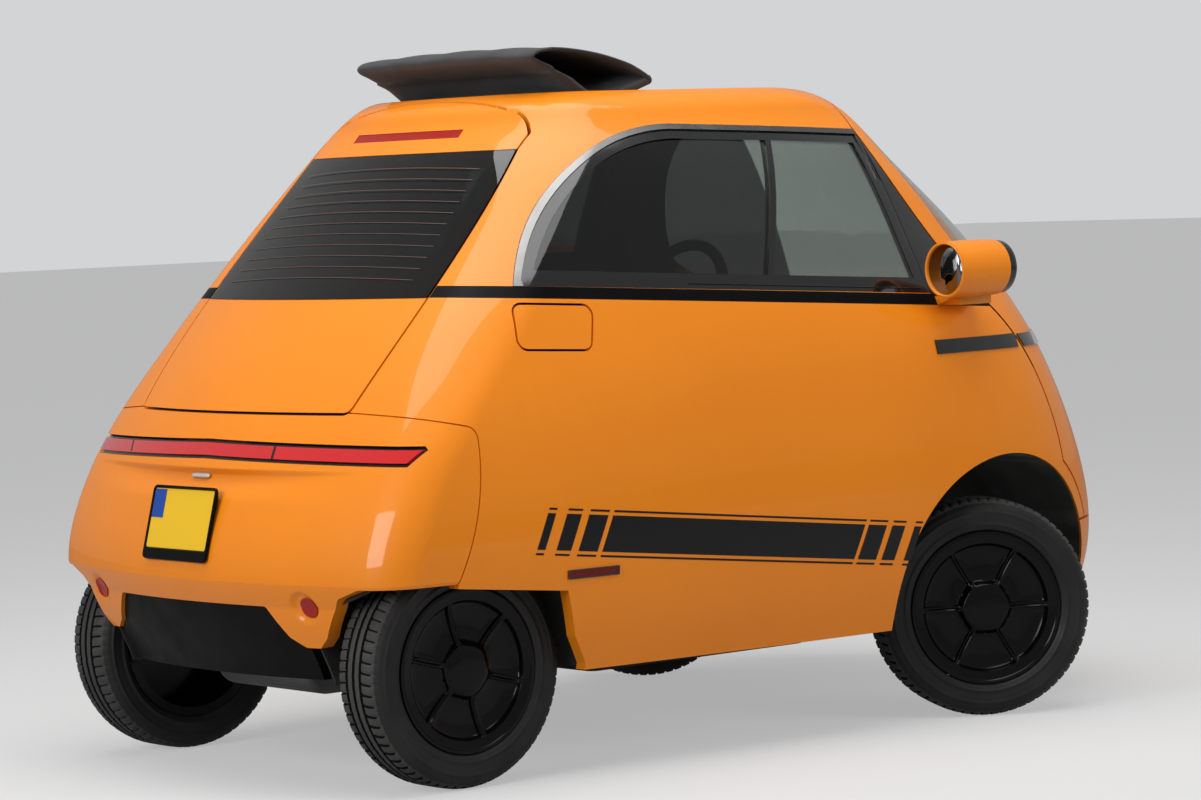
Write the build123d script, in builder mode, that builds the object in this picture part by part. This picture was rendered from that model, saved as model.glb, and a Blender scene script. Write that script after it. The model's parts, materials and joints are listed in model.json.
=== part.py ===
from build123d import *
import os
from functools import lru_cache
from math import cos, radians, sin, sqrt, tan

# A two-seat microcar. The whole front is one door that swings to the car's left; the tail has a
# top-hinged hatch. +X is forward, +Y the car's left, +Z up, and the floor is z = 0.
# Every length is in millimetres.

# ---- running gear ----
rear_axle_x = -896.0
front_axle_x = 583.5
tyre_r = 253.0
tyre_w = 146.0
rim_r = 178.0
rim_w = 128.0
rear_track = 1050.0
kingpin_y = 604.8
kingpin_offset = 30.0
steer_deg = -29.0
stub_r = 18.0
stub_reach = 25.0
rib_count = 6
arm_h = 52.0
arm_w = 40.0

# ---- body skin ----
wall = 30.0
shut_gap = 6.0
seam_gap = 3.0
seam_depth = 10.0
seat_gap = 0.3
glass_t = 5.0
sill_z = 230.0
roof_z = 1500.0
roof_start_z = 900.0

# Horizontal outlines of the skin, lowest first. Each is a closed oval of arcs, the same on both
# sides of the car: a rear arc, a rear corner, a side in two arcs that meet at the widest point,
# a front corner and a nose arc.
# height, rear x, widest x, front x, half width,
# radii: rear arc, rear corner, side behind, side ahead, front corner, nose arc
skin_table = (
    (sill_z, -1180, 454, 1209, 690, 1700, 120, 14000, 1300, 560, 760),
    (330, -1218, 454, 1244, 716, 1900, 115, 14000, 1300, 560, 780),
    (450, -1239, 454, 1254, 732, 1900, 115, 14000, 1300, 560, 780),
    (600, -1199, 444, 1219, 736, 1900, 130, 13000, 1300, 540, 780),
    (750, -1126, 404, 1154, 726, 1700, 160, 11000, 1350, 500, 780),
    (900, -1021, 304, 1069, 698, 1500, 200, 8000, 1500, 440, 760),
    (1050, -886, 154, 954, 646, 1500, 200, 6500, 1600, 370, 720),
    (1200, -748, 54, 804, 588, 1400, 180, 5500, 1600, 320, 680),
    (1330, -631, 4, 659, 520, 1300, 165, 4800, 1600, 280, 640),
    (1420, -551, -16, 566, 455, 1200, 150, 4000, 1500, 240, 600),
    (1475, -466, -36, 386, 375, 1100, 150, 3500, 1400, 200, 560),
    (roof_z, -336, -56, 219, 265, 1000, 130, 3000, 1100, 150, 480),
)

# ---- panel seams ----
belt_z = 986.6          # lower edge of the belt trim at x = 0
belt_slope = -0.0618
belt_h = 26.0
door_bottom_z = 430.0
hatch_front_x = -498.0
hatch_bottom_z = 804.0
hatch_half_w = 400.0
bumper_bottom_z = 445.0
arch_r = 356.0
arch_x = 591.0
liner_t = 4.0
liner_inner_y = 395.0
rear_liner_r = 296.0

# ---- windows ----
window_arc_r = 579.0
window_arc_x = -193.0
window_top_z = 1396.0
window_front_x = 405.0
window_front_z = 1372.0
trim_w = 12.0
frame_w = 22.0
post_w = 18.0
glass_depth = 5.0
sunroof_rear_x = -425.0
sunroof_front_x = 262.0
sunroof_half_w = 335.0

# ---- inside ----
floor_t = 22.0
jack_pad_x = (150.0, -500.0)
jack_pad_y = 560.0
jack_pad_t = 8.0
boot_floor_z = 440.0
boot_front_x = -560.0
seat_half_w = 500.0
wheel_hub = (430.0, 270.0, 950.0)
post_x = 760.0
column_rake = 25.0
steering_wheel_r = 172.0

# ---- lamps, pods and flap ----
pod_y = 745.0
pod_z = 1042.0
pod_r = 64.0
pod_rear_x = 385.0
pod_front_x = 534.0
hinge_x = 640.0
hinge_y = 718.0
hinge_low_z = 756.0
hinge_high_z = 836.0
hinge_r = 12.0
pin_r = 6.0

far = 3000.0
tops = 1700.0

os.makedirs("parts", exist_ok=True)


def save(part, name):
    """Label a finished piece and write its file."""
    part.label = name
    export_step(part, f"parts/{name}.step")
    box = part.bounding_box()
    print(f"{name:24s} {len(part.solids())} solid {part.volume / 1e6:9.3f} l  {box.min} {box.max}")


# ---------------------------------------------------------------- body skin

def corner(end_x, end_r, wide_x, wide_y, side_r, corner_r, facing):
    """Arc that rounds an oval's corner: its centre and the points where it meets the end arc
    and the side arc. facing is 1 for the tail and -1 for the nose."""
    end_c = Vector(end_x + facing * end_r, 0)
    side_c = Vector(wide_x, wide_y - side_r)
    link = side_c - end_c
    near = end_r - corner_r
    beyond = side_r - corner_r
    along = (near**2 - beyond**2 + link.length**2) / (2 * link.length)
    across = sqrt(near**2 - along**2)
    unit = link.normalized()
    turned = Vector(-unit.Y, unit.X)
    centre = end_c + unit * along - turned * across * facing
    on_end = end_c + (centre - end_c).normalized() * end_r
    on_side = side_c + (centre - side_c).normalized() * side_r
    return centre, on_end, on_side


def arc_middle(centre, radius, a, b):
    return centre + ((a + b) * 0.5 - centre).normalized() * radius


def flip(point):
    return Vector(point.X, -point.Y)


@lru_cache
def skin(depth):
    """Solid bounded by the surface that lies depth inside the outer skin; a negative depth
    stands proud of it. Towards the roof the offset turns from sideways to downwards."""
    with BuildPart() as solid:
        for z, rear, wide, front, half, r_rear, r_rc, r_back, r_fore, r_fc, r_nose in skin_table:
            roofward = max(0.0, (z - roof_start_z) / (roof_z - roof_start_z)) ** 2
            inset = depth * (1 - 0.4 * roofward)
            rear_x, front_x, half_y = rear + inset, front - inset, half - inset
            tail = (rear_x, r_rear - inset, wide, half_y, r_back - inset, r_rc - inset, 1)
            nose = (front_x, r_nose - inset, wide, half_y, r_fore - inset, r_fc - inset, -1)
            rear_c, a, b = corner(*tail)
            nose_c, d, c = corner(*nose)
            widest = Vector(wide, half_y)
            back_mid = arc_middle(Vector(wide, half - r_back), r_back - inset, b, widest)
            fore_mid = arc_middle(Vector(wide, half - r_fore), r_fore - inset, widest, c)
            rear_mid = arc_middle(rear_c, r_rc - inset, a, b)
            nose_mid = arc_middle(nose_c, r_fc - inset, c, d)
            arcs = (
                (flip(a), Vector(rear_x, 0), a),
                (a, rear_mid, b),
                (b, back_mid, widest),
                (widest, fore_mid, c),
                (c, nose_mid, d),
                (d, Vector(front_x, 0), flip(d)),
                (flip(d), flip(nose_mid), flip(c)),
                (flip(c), flip(fore_mid), flip(widest)),
                (flip(widest), flip(back_mid), flip(b)),
                (flip(b), flip(rear_mid), flip(a)),
            )
            with BuildSketch(Plane.XY.offset(z - depth * roofward)):
                with BuildLine():
                    for start, middle, end in arcs:
                        ThreePointArc(start, middle, end)
                make_face()
        loft()
    return solid.part


def layer(top, bottom, *zones):
    """The body wall between two depths below the outer skin, kept inside every zone given."""
    with BuildPart() as band:
        add(skin(top))
        for zone in zones:
            add(zone, mode=Mode.INTERSECT)
        add(skin(bottom), mode=Mode.SUBTRACT)
    return band.part


# ---------------------------------------------------------------- zones cut by the seams
# Each zone is a prism that holds one panel. grow widens it, for the gap cut from its neighbours.

def belt(x):
    return belt_z + belt_slope * x


def above(rise):
    """Everything above the belt line raised by rise."""
    with BuildPart() as zone:
        with BuildSketch(Plane.XZ):
            with BuildLine():
                Polyline((-far, belt(-far) + rise), (far, belt(far) + rise), (far, far),
                         (-far, far), close=True)
            make_face()
        extrude(amount=far, both=True)
    return zone.part


def door_zone(grow=0.0):
    with BuildPart() as zone:
        with BuildSketch(Plane.XZ):
            with BuildLine():
                Line((394, tops), (406, 1376))
                ThreePointArc((406, 1376), (509, 1130), (638, 950))
                ThreePointArc((638, 950), (764, 765), (820, 576))
                ThreePointArc((820, 576), (892, 511), (945, door_bottom_z))
                Polyline((945, door_bottom_z), (tops, door_bottom_z), (tops, tops), (394, tops))
            make_face()
            if grow:
                offset(amount=grow)
        extrude(amount=far, both=True)
    return zone.part


def hatch_zone(grow=0.0):
    front_x = hatch_front_x + grow
    with BuildPart() as zone:
        with BuildSketch(Plane.YZ.offset(-tops)):
            with BuildLine():
                Line((-hatch_half_w, hatch_bottom_z), (hatch_half_w, hatch_bottom_z))
                ThreePointArc((hatch_half_w, hatch_bottom_z), (418, 1010), (386, 1350))
                Polyline((386, 1350), (388, tops), (-388, tops), (-386, 1350))
                ThreePointArc((-386, 1350), (-418, 1010), (-hatch_half_w, hatch_bottom_z))
            make_face()
            fillet([v for v in vertices() if v.Z < hatch_bottom_z + 1], radius=16)
            if grow:
                offset(amount=grow)
        extrude(amount=tops + front_x)
        with BuildSketch(Plane.XY):
            with BuildLine():
                Polyline((-tops, -430 - grow), (front_x, -430 - grow), (front_x, 430 + grow),
                         (-tops, 430 + grow), close=True)
            make_face()
            fillet([v for v in vertices() if v.X > -tops + 1], radius=110)
        extrude(amount=tops, mode=Mode.INTERSECT)
    return zone.part


def bumper_zone(grow=0.0):
    with BuildPart() as zone:
        with BuildSketch(Plane.XZ):
            with BuildLine():
                Polyline((-966, -100), (-tops, -100), (-tops, 806), (-1045, 803), (-893, 766))
                ThreePointArc((-893, 766), (-905, 620), (-966, bumper_bottom_z))
                Line((-966, bumper_bottom_z), (-966, -100))
            make_face()
            fillet([v for v in vertices() if v.X > -894], radius=26)
            if grow:
                offset(amount=grow)
        extrude(amount=far, both=True)
    return zone.part


def rear_arch_zone():
    with BuildPart() as zone:
        with BuildSketch(Plane.XZ):
            with BuildLine():
                Polyline((-tops, -100), (-628, -100), (-628, 244), (-664, 307), (-690, 408),
                         (-1056, bumper_bottom_z), (-tops, bumper_bottom_z), close=True)
            make_face()
            fillet([v for v in vertices() if v.X > -700 and v.Z > 300], radius=22)
        extrude(amount=far, both=True)
    return zone.part


def bumper_foot_zone():
    """What lies below the bumper's lower edge: level over the wheels, with a drooping tip on
    each side of the raised middle."""
    with BuildPart() as zone:
        with BuildSketch(Plane.YZ.offset(-tops)):
            with BuildLine():
                Polyline((-800, -100), (-800, bumper_bottom_z), (-560, bumper_bottom_z),
                         (-502, 423), (-442, 330), (-412, 306), (-372, 306), (-335, 328),
                         (-285, 397), (285, 397), (335, 328), (372, 306), (412, 306),
                         (442, 330), (502, 423), (560, bumper_bottom_z),
                         (800, bumper_bottom_z), (800, -100), close=True)
            make_face()
            fillet([v for v in vertices() if 280 < abs(v.Y) < 600], radius=14)
        extrude(amount=tops - 700)
    return zone.part


def front_arch_zone(radius=arch_r):
    with BuildPart() as zone:
        with BuildSketch(Plane.XZ):
            with Locations((arch_x, tyre_r)):
                Circle(radius)
        extrude(amount=far, both=True)
    return zone.part


def window_zone(inset=0.0):
    """Outline of the side windows, from the belt trim up to the arched top edge."""
    rear_z = belt(-720) + belt_h
    rear_x = window_arc_x - sqrt(window_arc_r**2 - (rear_z - window_top_z + window_arc_r) ** 2)
    middle = radians(128)
    arc_z = window_top_z - window_arc_r
    with BuildPart() as zone:
        with BuildSketch(Plane.XZ):
            with BuildLine():
                ThreePointArc((rear_x, rear_z),
                              (window_arc_x + window_arc_r * cos(middle),
                               arc_z + window_arc_r * sin(middle)),
                              (window_arc_x, window_top_z))
                Polyline((window_arc_x, window_top_z), (window_front_x, window_front_z),
                         (window_front_x + 20, belt(window_front_x) + belt_h), (rear_x, rear_z))
            make_face()
            if inset:
                offset(amount=-inset)
        extrude(amount=far, both=True)
    return zone.part


def box_zone(x, y, z):
    """Axis-aligned block from (low, high) pairs."""
    with BuildPart(Plane(origin=((x[0] + x[1]) / 2, (y[0] + y[1]) / 2, (z[0] + z[1]) / 2))) as b:
        Box(x[1] - x[0], y[1] - y[0], z[1] - z[0])
    return b.part


shell = layer(0, wall)
over_belt = above(0)
over_trim = above(belt_h)
door_region = door_zone()
door_cut = door_zone(shut_gap)
hatch_region = hatch_zone()
hatch_cut = hatch_zone(shut_gap)
bumper_region = bumper_zone()
bumper_seam = bumper_zone(seam_gap)

# ---------------------------------------------------------------- charge flap outline

flap_points = ((-735, belt(-735) - 14), (-548, belt(-548) - 14), (-574, 915), (-750, 925))
flap_t = 12.0
flap_gap = 5.0


def flap_zone(grow=0.0):
    with BuildPart() as zone:
        with BuildSketch(Plane.XZ):
            with BuildLine():
                Polyline(*flap_points, close=True)
            make_face()
            fillet([v for v in vertices() if v.Z < 940], radius=20)
            if grow:
                offset(amount=grow)
        extrude(amount=far)
    return zone.part


# ---------------------------------------------------------------- body sides, below the belt

with BuildPart() as sides:
    add(shell)
    add(over_belt, mode=Mode.SUBTRACT)
    add(door_cut, mode=Mode.SUBTRACT)
    add(hatch_cut, mode=Mode.SUBTRACT)
    add(bumper_region, mode=Mode.SUBTRACT)
    add(layer(0, seam_depth, bumper_seam), mode=Mode.SUBTRACT)
    add(rear_arch_zone(), mode=Mode.SUBTRACT)
    add(front_arch_zone(), mode=Mode.SUBTRACT)
    add(box_zone((arch_x, far), (-far, far), (0, door_bottom_z)), mode=Mode.SUBTRACT)
side_solids = [s for s in sides.solids() if s.volume > 1e5]
side_right = min(side_solids, key=lambda s: s.center().Y)
side_left = max(side_solids, key=lambda s: s.center().Y)

with BuildPart() as side_panel_right:
    add(side_right)
    add(layer(-20, wall + 5, flap_zone(flap_gap)), mode=Mode.SUBTRACT)
save(side_panel_right.part, "side_panel_right")
with BuildPart() as side_panel_left:
    add(side_left)
save(side_panel_left.part, "side_panel_left")

save(layer(0, flap_t, flap_zone()), "charge_flap")

with BuildPart() as charge_socket:
    add(layer(flap_t + seat_gap, wall, flap_zone(flap_gap)))
save(charge_socket.part, "charge_socket")

# ---------------------------------------------------------------- roof, pillars and belt trim

with BuildPart() as upper:
    add(shell)
    add(over_belt, mode=Mode.INTERSECT)
    add(door_cut, mode=Mode.SUBTRACT)
    add(hatch_cut, mode=Mode.SUBTRACT)

with BuildPart() as sunroof_hole:
    with BuildSketch(Plane.XY.offset(1300)):
        with BuildLine():
            Polyline((sunroof_rear_x, -sunroof_half_w), (sunroof_front_x, -sunroof_half_w),
                     (sunroof_front_x, sunroof_half_w), (sunroof_rear_x, sunroof_half_w),
                     close=True)
        make_face()
        fillet(vertices(), radius=110)
    extrude(amount=400)

with BuildPart() as belt_trim:
    add(upper.part)
    add(over_trim, mode=Mode.SUBTRACT)
save(belt_trim.part, "belt_trim")

with BuildPart() as front_pillar_zone:
    with BuildSketch(Plane.XZ):
        with BuildLine():
            Polyline((window_front_x, window_front_z),
                     (window_front_x + 20, belt(window_front_x) + belt_h),
                     (window_front_x + 26, 800), (900, 800), (900, window_front_z - 20),
                     close=True)
        make_face()
    extrude(amount=far, both=True)

with BuildPart() as front_pillars:
    add(upper.part)
    add(over_trim, mode=Mode.INTERSECT)
    add(front_pillar_zone.part, mode=Mode.INTERSECT)
save(front_pillars.part, "front_pillars")

with BuildPart() as roof_frame:
    add(upper.part)
    add(over_trim, mode=Mode.INTERSECT)
    add(front_pillar_zone.part, mode=Mode.SUBTRACT)
    add(window_zone(), mode=Mode.SUBTRACT)
    add(sunroof_hole.part, mode=Mode.SUBTRACT)
save(roof_frame.part, "roof_frame")

# ---------------------------------------------------------------- side windows

with BuildPart() as trim_foot:
    add(above(0))
    add(above(belt_h + trim_w + 0.5), mode=Mode.SUBTRACT)
    add(box_zone((-700, far), (-far, far), (0, far)), mode=Mode.INTERSECT)

with BuildPart() as arch_trim:
    add(layer(-2, 12, window_zone()))
    add(window_zone(trim_w), mode=Mode.SUBTRACT)
    add(above(belt_h + 0.5), mode=Mode.INTERSECT)
    add(box_zone((window_front_x - 6, far), (-far, far), (0, far)), mode=Mode.SUBTRACT)
    add(trim_foot.part, mode=Mode.SUBTRACT)
save(arch_trim.part, "arch_trim")

with BuildPart() as post:
    with BuildSketch(Plane.XZ):
        with BuildLine():
            Polyline((-68 - post_w / 2, 1005), (-68 + post_w / 2, 1005),
                     (100 + post_w / 2, 1400), (100 - post_w / 2, 1400), close=True)
        make_face()
    extrude(amount=far, both=True)

with BuildPart() as panes:
    add(window_zone(trim_w + frame_w))
    add(post.part, mode=Mode.SUBTRACT)

with BuildPart() as window_frames:
    add(layer(2, 20, window_zone()))
    add(panes.part, mode=Mode.SUBTRACT)
    add(arch_trim.part, mode=Mode.SUBTRACT)
save(window_frames.part, "window_frames")

save(layer(glass_depth, glass_depth + glass_t, panes.part), "side_glass")

# ---------------------------------------------------------------- front door and windscreen


def windscreen_zone(inset=0.0):
    low_y, low_z, crown_z = 585 - inset, 985 + inset, 972 + inset
    high_y, high_z, brow_z = 352 - inset, 1400 - inset, 1424 - inset
    side_y, side_z = 500 - inset, 1210
    with BuildPart() as zone:
        with BuildSketch(Plane.YZ.offset(300)):
            with BuildLine():
                ThreePointArc((-low_y, low_z), (0, crown_z), (low_y, low_z))
                ThreePointArc((low_y, low_z), (side_y, side_z), (high_y, high_z))
                ThreePointArc((high_y, high_z), (0, brow_z), (-high_y, high_z))
                ThreePointArc((-high_y, high_z), (-side_y, side_z), (-low_y, low_z))
            make_face()
            fillet(vertices(), radius=45)
        extrude(amount=far)
    return zone.part


def light_bar_zone(low, high):
    return box_zone((705, far), (-far, far), (low, high))


with BuildPart() as front_door:
    add(shell)
    add(door_region, mode=Mode.INTERSECT)
    add(front_arch_zone(), mode=Mode.SUBTRACT)
    add(windscreen_zone(30), mode=Mode.SUBTRACT)
    add(layer(-5, glass_t + seat_gap, windscreen_zone()), mode=Mode.SUBTRACT)
save(front_door.part, "front_door")
save(layer(0, glass_t, windscreen_zone(1)), "windscreen")
save(layer(-4, -seat_gap, light_bar_zone(850, 880), door_zone(-4)), "front_light_bar")

with BuildPart() as handle_strips:
    add(layer(-4, -seat_gap, box_zone((388, 690), (-far, far), (850, 882))))
    add(door_cut, mode=Mode.SUBTRACT)
save(handle_strips.part, "handle_strips")

with BuildPart() as front_bumper:
    add(shell)
    add(box_zone((arch_x, far), (-far, far), (0, door_bottom_z - shut_gap)), mode=Mode.INTERSECT)
    add(front_arch_zone(), mode=Mode.SUBTRACT)
save(front_bumper.part, "front_bumper")

# ---------------------------------------------------------------- tail: hatch, bumper and lamps


def rear_glass_zone(low, high, inset=0.0):
    with BuildPart() as zone:
        with BuildSketch(Plane.YZ.offset(-tops)):
            with BuildLine():
                Polyline((-far, low + inset), (far, low + inset), (far, high - inset),
                         (-far, high - inset), close=True)
            make_face()
        extrude(amount=tops - 400)
        add(hatch_zone(-inset), mode=Mode.INTERSECT)
    return zone.part


glass_low_z = 1038.0
glass_high_z = 1350.0
with BuildPart() as rear_hatch:
    add(shell)
    add(hatch_region, mode=Mode.INTERSECT)
    add(rear_glass_zone(glass_low_z + 30, glass_high_z, 40), mode=Mode.SUBTRACT)
    add(layer(-5, glass_t + seat_gap, rear_glass_zone(glass_low_z, glass_high_z, -1)),
        mode=Mode.SUBTRACT)
    add(layer(-5, 14, box_zone((-tops, 0), (-200, 200), (1382, 1400))), mode=Mode.SUBTRACT)
save(rear_hatch.part, "rear_hatch")
save(layer(0, glass_t, rear_glass_zone(glass_low_z, glass_high_z, 0.5)), "rear_glass")
save(layer(1, 14 - seat_gap, box_zone((-tops, 0), (-199.7, 199.7), (1382.3, 1399.7))),
     "brake_lamp")


def tail_lamp_zone(inset=0.0):
    with BuildPart() as zone:
        with BuildSketch(Plane.YZ.offset(-tops)):
            with BuildLine():
                Polyline((-612, 736), (0, 746), (612, 736), (619, 728), (601, 694), (0, 704),
                         (-601, 694), (-619, 728), close=True)
            make_face()
            if inset:
                offset(amount=-inset)
        extrude(amount=tops - 700)
    return zone.part


seal_t = 14.0
seal_w = 16.0
with BuildPart() as hatch_seal:
    add(layer(wall + seat_gap, wall + seal_t, hatch_zone(shut_gap + seal_w)))
    add(hatch_zone(-seal_w), mode=Mode.SUBTRACT)
save(hatch_seal.part, "hatch_seal")

with BuildPart() as rear_bumper:
    add(shell)
    add(bumper_region, mode=Mode.INTERSECT)
    add(hatch_cut, mode=Mode.SUBTRACT)
    add(bumper_foot_zone(), mode=Mode.SUBTRACT)
    add(tail_lamp_zone(), mode=Mode.SUBTRACT)
save(rear_bumper.part, "rear_bumper")

save(layer(8, wall, tail_lamp_zone()), "tail_lamp_housing")
save(layer(1, 8 - seat_gap, tail_lamp_zone(8)), "tail_lamp_lens")
save(layer(10, wall, box_zone((-tops, -900), (-372, 372), (232, 400)), bumper_foot_zone()),
     "diffuser")

with BuildPart() as reflector_zone:
    with BuildSketch(Plane.YZ.offset(-tops)):
        with Locations((-412, 398), (412, 398)):
            Circle(24)
    extrude(amount=tops - 900)
save(layer(-3, -seat_gap, reflector_zone.part), "reflectors")
save(layer(-3, -seat_gap, box_zone((-692, -562), (-far, far), (434, 450))), "side_markers")

plate_w, plate_h, plate_t = 246.0, 164.0, 14.0
plate_seat = Plane(origin=(-1209, 0, 565), x_dir=(0, -1, 0), z_dir=(-0.966, 0, 0.258))
with BuildPart() as plate:
    with Locations(plate_seat):
        Box(plate_w, plate_h, plate_t)
    fillet(edges().filter_by(GeomType.LINE).group_by(Edge.length)[0], radius=8)
    add(skin(-seat_gap), mode=Mode.SUBTRACT)
save(plate.part, "number_plate")

# ---------------------------------------------------------------- mirror and headlamp pods

with BuildPart() as pods:
    for side in (-1, 1):
        with BuildSketch(Plane.YZ.offset(pod_rear_x)):
            with Locations((side * pod_y, pod_z)):
                Circle(pod_r)
        extrude(amount=pod_front_x - pod_rear_x)
        with BuildSketch(Plane.XY.offset(pod_z - pod_r - 18)):
            with BuildLine():
                Polyline((440, side * 560), (600, side * 560), (530, side * pod_y),
                         (430, side * pod_y), close=True)
            make_face()
        extrude(amount=20)
    for side in (-1, 1):
        with BuildSketch(Plane.YZ.offset(pod_rear_x)):
            with Locations((side * pod_y, pod_z)):
                Circle(pod_r - 6)
        extrude(amount=12, mode=Mode.SUBTRACT)
    add(skin(-seat_gap), mode=Mode.SUBTRACT)
save(pods.part, "pods")

with BuildPart() as mirror_glasses:
    with BuildSketch(Plane.YZ.offset(pod_rear_x + 6)):
        with Locations((-pod_y, pod_z), (pod_y, pod_z)):
            Circle(pod_r - 6)
    extrude(amount=6)
save(mirror_glasses.part, "mirror_glasses")

with BuildPart() as headlamps:
    for side in (-1, 1):
        with BuildSketch(Plane.YZ.offset(pod_front_x)):
            with Locations((side * pod_y, pod_z)):
                Circle(pod_r - 3)
        extrude(amount=22)
save(headlamps.part, "headlamps")

# ---------------------------------------------------------------- door hinge, on the left

strap_low_z = hinge_low_z + 27
strap_high_z = hinge_high_z - 27
with BuildPart() as door_hinge:
    for low, high in ((hinge_low_z, strap_low_z), (strap_high_z, hinge_high_z)):
        with BuildSketch(Plane.XY.offset(low)):
            with Locations((hinge_x, hinge_y)):
                Circle(hinge_r)
        extrude(amount=high - low)
        add(layer(-9, -seat_gap, box_zone((545, hinge_x), (600, far), (low, high))))
    with BuildSketch(Plane.XY.offset(hinge_low_z)):
        with Locations((hinge_x, hinge_y)):
            Circle(pin_r)
    extrude(amount=hinge_high_z - hinge_low_z)
    add(layer(-9, -seat_gap, box_zone((545, 575), (600, far), (hinge_low_z, hinge_high_z))))
save(door_hinge.part, "door_hinge")

with BuildPart() as hinge_strap:
    with BuildSketch(Plane.XY.offset(strap_low_z + seat_gap)):
        with Locations((hinge_x, hinge_y)):
            Circle(hinge_r)
    extrude(amount=strap_high_z - strap_low_z - 2 * seat_gap)
    add(layer(-9, -seat_gap, box_zone((hinge_x, 800), (500, far),
                                      (strap_low_z + seat_gap, strap_high_z - seat_gap))))
    with BuildSketch(Plane.XY.offset(hinge_low_z)):
        with Locations((hinge_x, hinge_y)):
            Circle(pin_r + seat_gap)
    extrude(amount=hinge_high_z - hinge_low_z, mode=Mode.SUBTRACT)
save(hinge_strap.part, "hinge_strap")

# ---------------------------------------------------------------- floor, liners and heavy masses

inner_face = skin(wall + seat_gap)
with BuildPart() as floor_pan:
    with BuildSketch(Plane.XZ):
        with BuildLine():
            Polyline((-1300, boot_floor_z), (boot_front_x, boot_floor_z), (boot_front_x, sill_z),
                     (1300, sill_z), (1300, sill_z + floor_t),
                     (boot_front_x + floor_t, sill_z + floor_t),
                     (boot_front_x + floor_t, boot_floor_z + floor_t),
                     (-1300, boot_floor_z + floor_t), close=True)
        make_face()
    extrude(amount=800, both=True)
    add(inner_face, mode=Mode.INTERSECT)
    for centre_x, radius in ((rear_axle_x, rear_liner_r), (arch_x, arch_r)):
        for low_y in (-900, liner_inner_y - seat_gap):
            well = box_zone((centre_x - radius - seat_gap, centre_x + radius + seat_gap),
                            (low_y, low_y + 900 - liner_inner_y + seat_gap), (0, 700))
            add(well, mode=Mode.SUBTRACT)
    with Locations(*[(x, y, sill_z) for x in jack_pad_x for y in (-jack_pad_y, jack_pad_y)]):
        Box(90, 60, jack_pad_t, align=(Align.CENTER, Align.CENTER, Align.MAX))
save(floor_pan.part, "floor_pan")


def wheel_well(centre_x, radius, inner_y, side):
    """Block of the space over one wheel, from inner_y outwards, open at the sill."""
    with BuildPart() as well:
        with BuildSketch(Plane.XZ.offset(-side * inner_y)):
            with Locations((centre_x, tyre_r)):
                Circle(radius)
            with Locations((centre_x, sill_z)):
                Rectangle(2 * radius, radius, align=(Align.CENTER, Align.MAX), mode=Mode.SUBTRACT)
        extrude(amount=-side * 500)
    return well.part


# name, centre x, outer radius, depth of the outer edge below the skin
liner_table = (
    ("front_liners", arch_x, arch_r - seat_gap, 6),
    ("rear_liners", rear_axle_x, rear_liner_r, wall + seat_gap),
)
for name, centre_x, radius, depth in liner_table:
    with BuildPart() as liners:
        for side in (-1, 1):
            add(wheel_well(centre_x, radius, liner_inner_y, side))
        add(skin(depth), mode=Mode.INTERSECT)
        for side in (-1, 1):
            add(wheel_well(centre_x, radius - liner_t, liner_inner_y + liner_t, side),
                mode=Mode.SUBTRACT)
        if depth < wall:
            add(door_cut, mode=Mode.SUBTRACT)
    save(liners.part, name)

with BuildPart() as battery_box:
    with BuildSketch(Plane.XY.offset(168)):
        Rectangle(660, 600)
        fillet(vertices(), radius=30)
    extrude(amount=sill_z - 168)
    fillet(faces().sort_by(Axis.Z)[0].edges(), radius=8)
save(battery_box.part, "battery_box")

with BuildPart() as drive_motor:
    with BuildSketch(Plane.XZ):
        with Locations((rear_axle_x, 290)):
            Rectangle(260, 220)
            fillet(vertices(), radius=60)
    extrude(amount=170, both=True)
    with BuildSketch(Plane.XY.offset(390)):
        with Locations((rear_axle_x, 0)):
            Rectangle(160, 200)
    extrude(amount=boot_floor_z - 390)
save(drive_motor.part, "drive_motor")

# ---------------------------------------------------------------- suspension and knuckles

with BuildPart() as rear_arms:
    for side in (-1, 1):
        with BuildSketch(Plane.XZ.offset(-side * (liner_inner_y + liner_t + seat_gap))):
            with Locations(((rear_axle_x + rear_axle_x + 250) / 2, tyre_r)):
                SlotCenterToCenter(250, arm_h)
        extrude(amount=-side * arm_w)
        with BuildSketch(Plane.XZ.offset(-side * liner_inner_y - side * arm_w)):
            with Locations((rear_axle_x, tyre_r)):
                Circle(stub_r)
        extrude(amount=-side * (rear_track / 2 + stub_reach - liner_inner_y - arm_w))
save(rear_arms.part, "rear_arms")

knuckle_h = 192.0
with BuildPart() as front_arms:
    for side in (-1, 1):
        for low in (tyre_r - knuckle_h / 2 - seat_gap - 22, tyre_r + knuckle_h / 2 + seat_gap):
            with BuildSketch(Plane.XY.offset(low)):
                with BuildLine():
                    inner_y = side * (liner_inner_y + liner_t + seat_gap)
                    Polyline((front_axle_x - 90, inner_y), (front_axle_x - 55, inner_y),
                             (front_axle_x, side * (kingpin_y - 70)),
                             (front_axle_x + 55, inner_y), (front_axle_x + 90, inner_y),
                             (front_axle_x + 22, side * kingpin_y),
                             (front_axle_x - 22, side * kingpin_y), close=True)
                make_face()
                with Locations((front_axle_x, side * kingpin_y)):
                    Circle(22)
            extrude(amount=22)
save(front_arms.part, "front_arms")


def wheel_plane(x, y, turn, side):
    """Plane through a wheel's centre: its normal points outwards along the axle."""
    heading = radians(turn)
    return Plane(origin=(x, y, tyre_r), x_dir=(cos(heading), sin(heading), 0),
                 z_dir=(-side * sin(heading), side * cos(heading), 0))


steer = radians(steer_deg)
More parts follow.
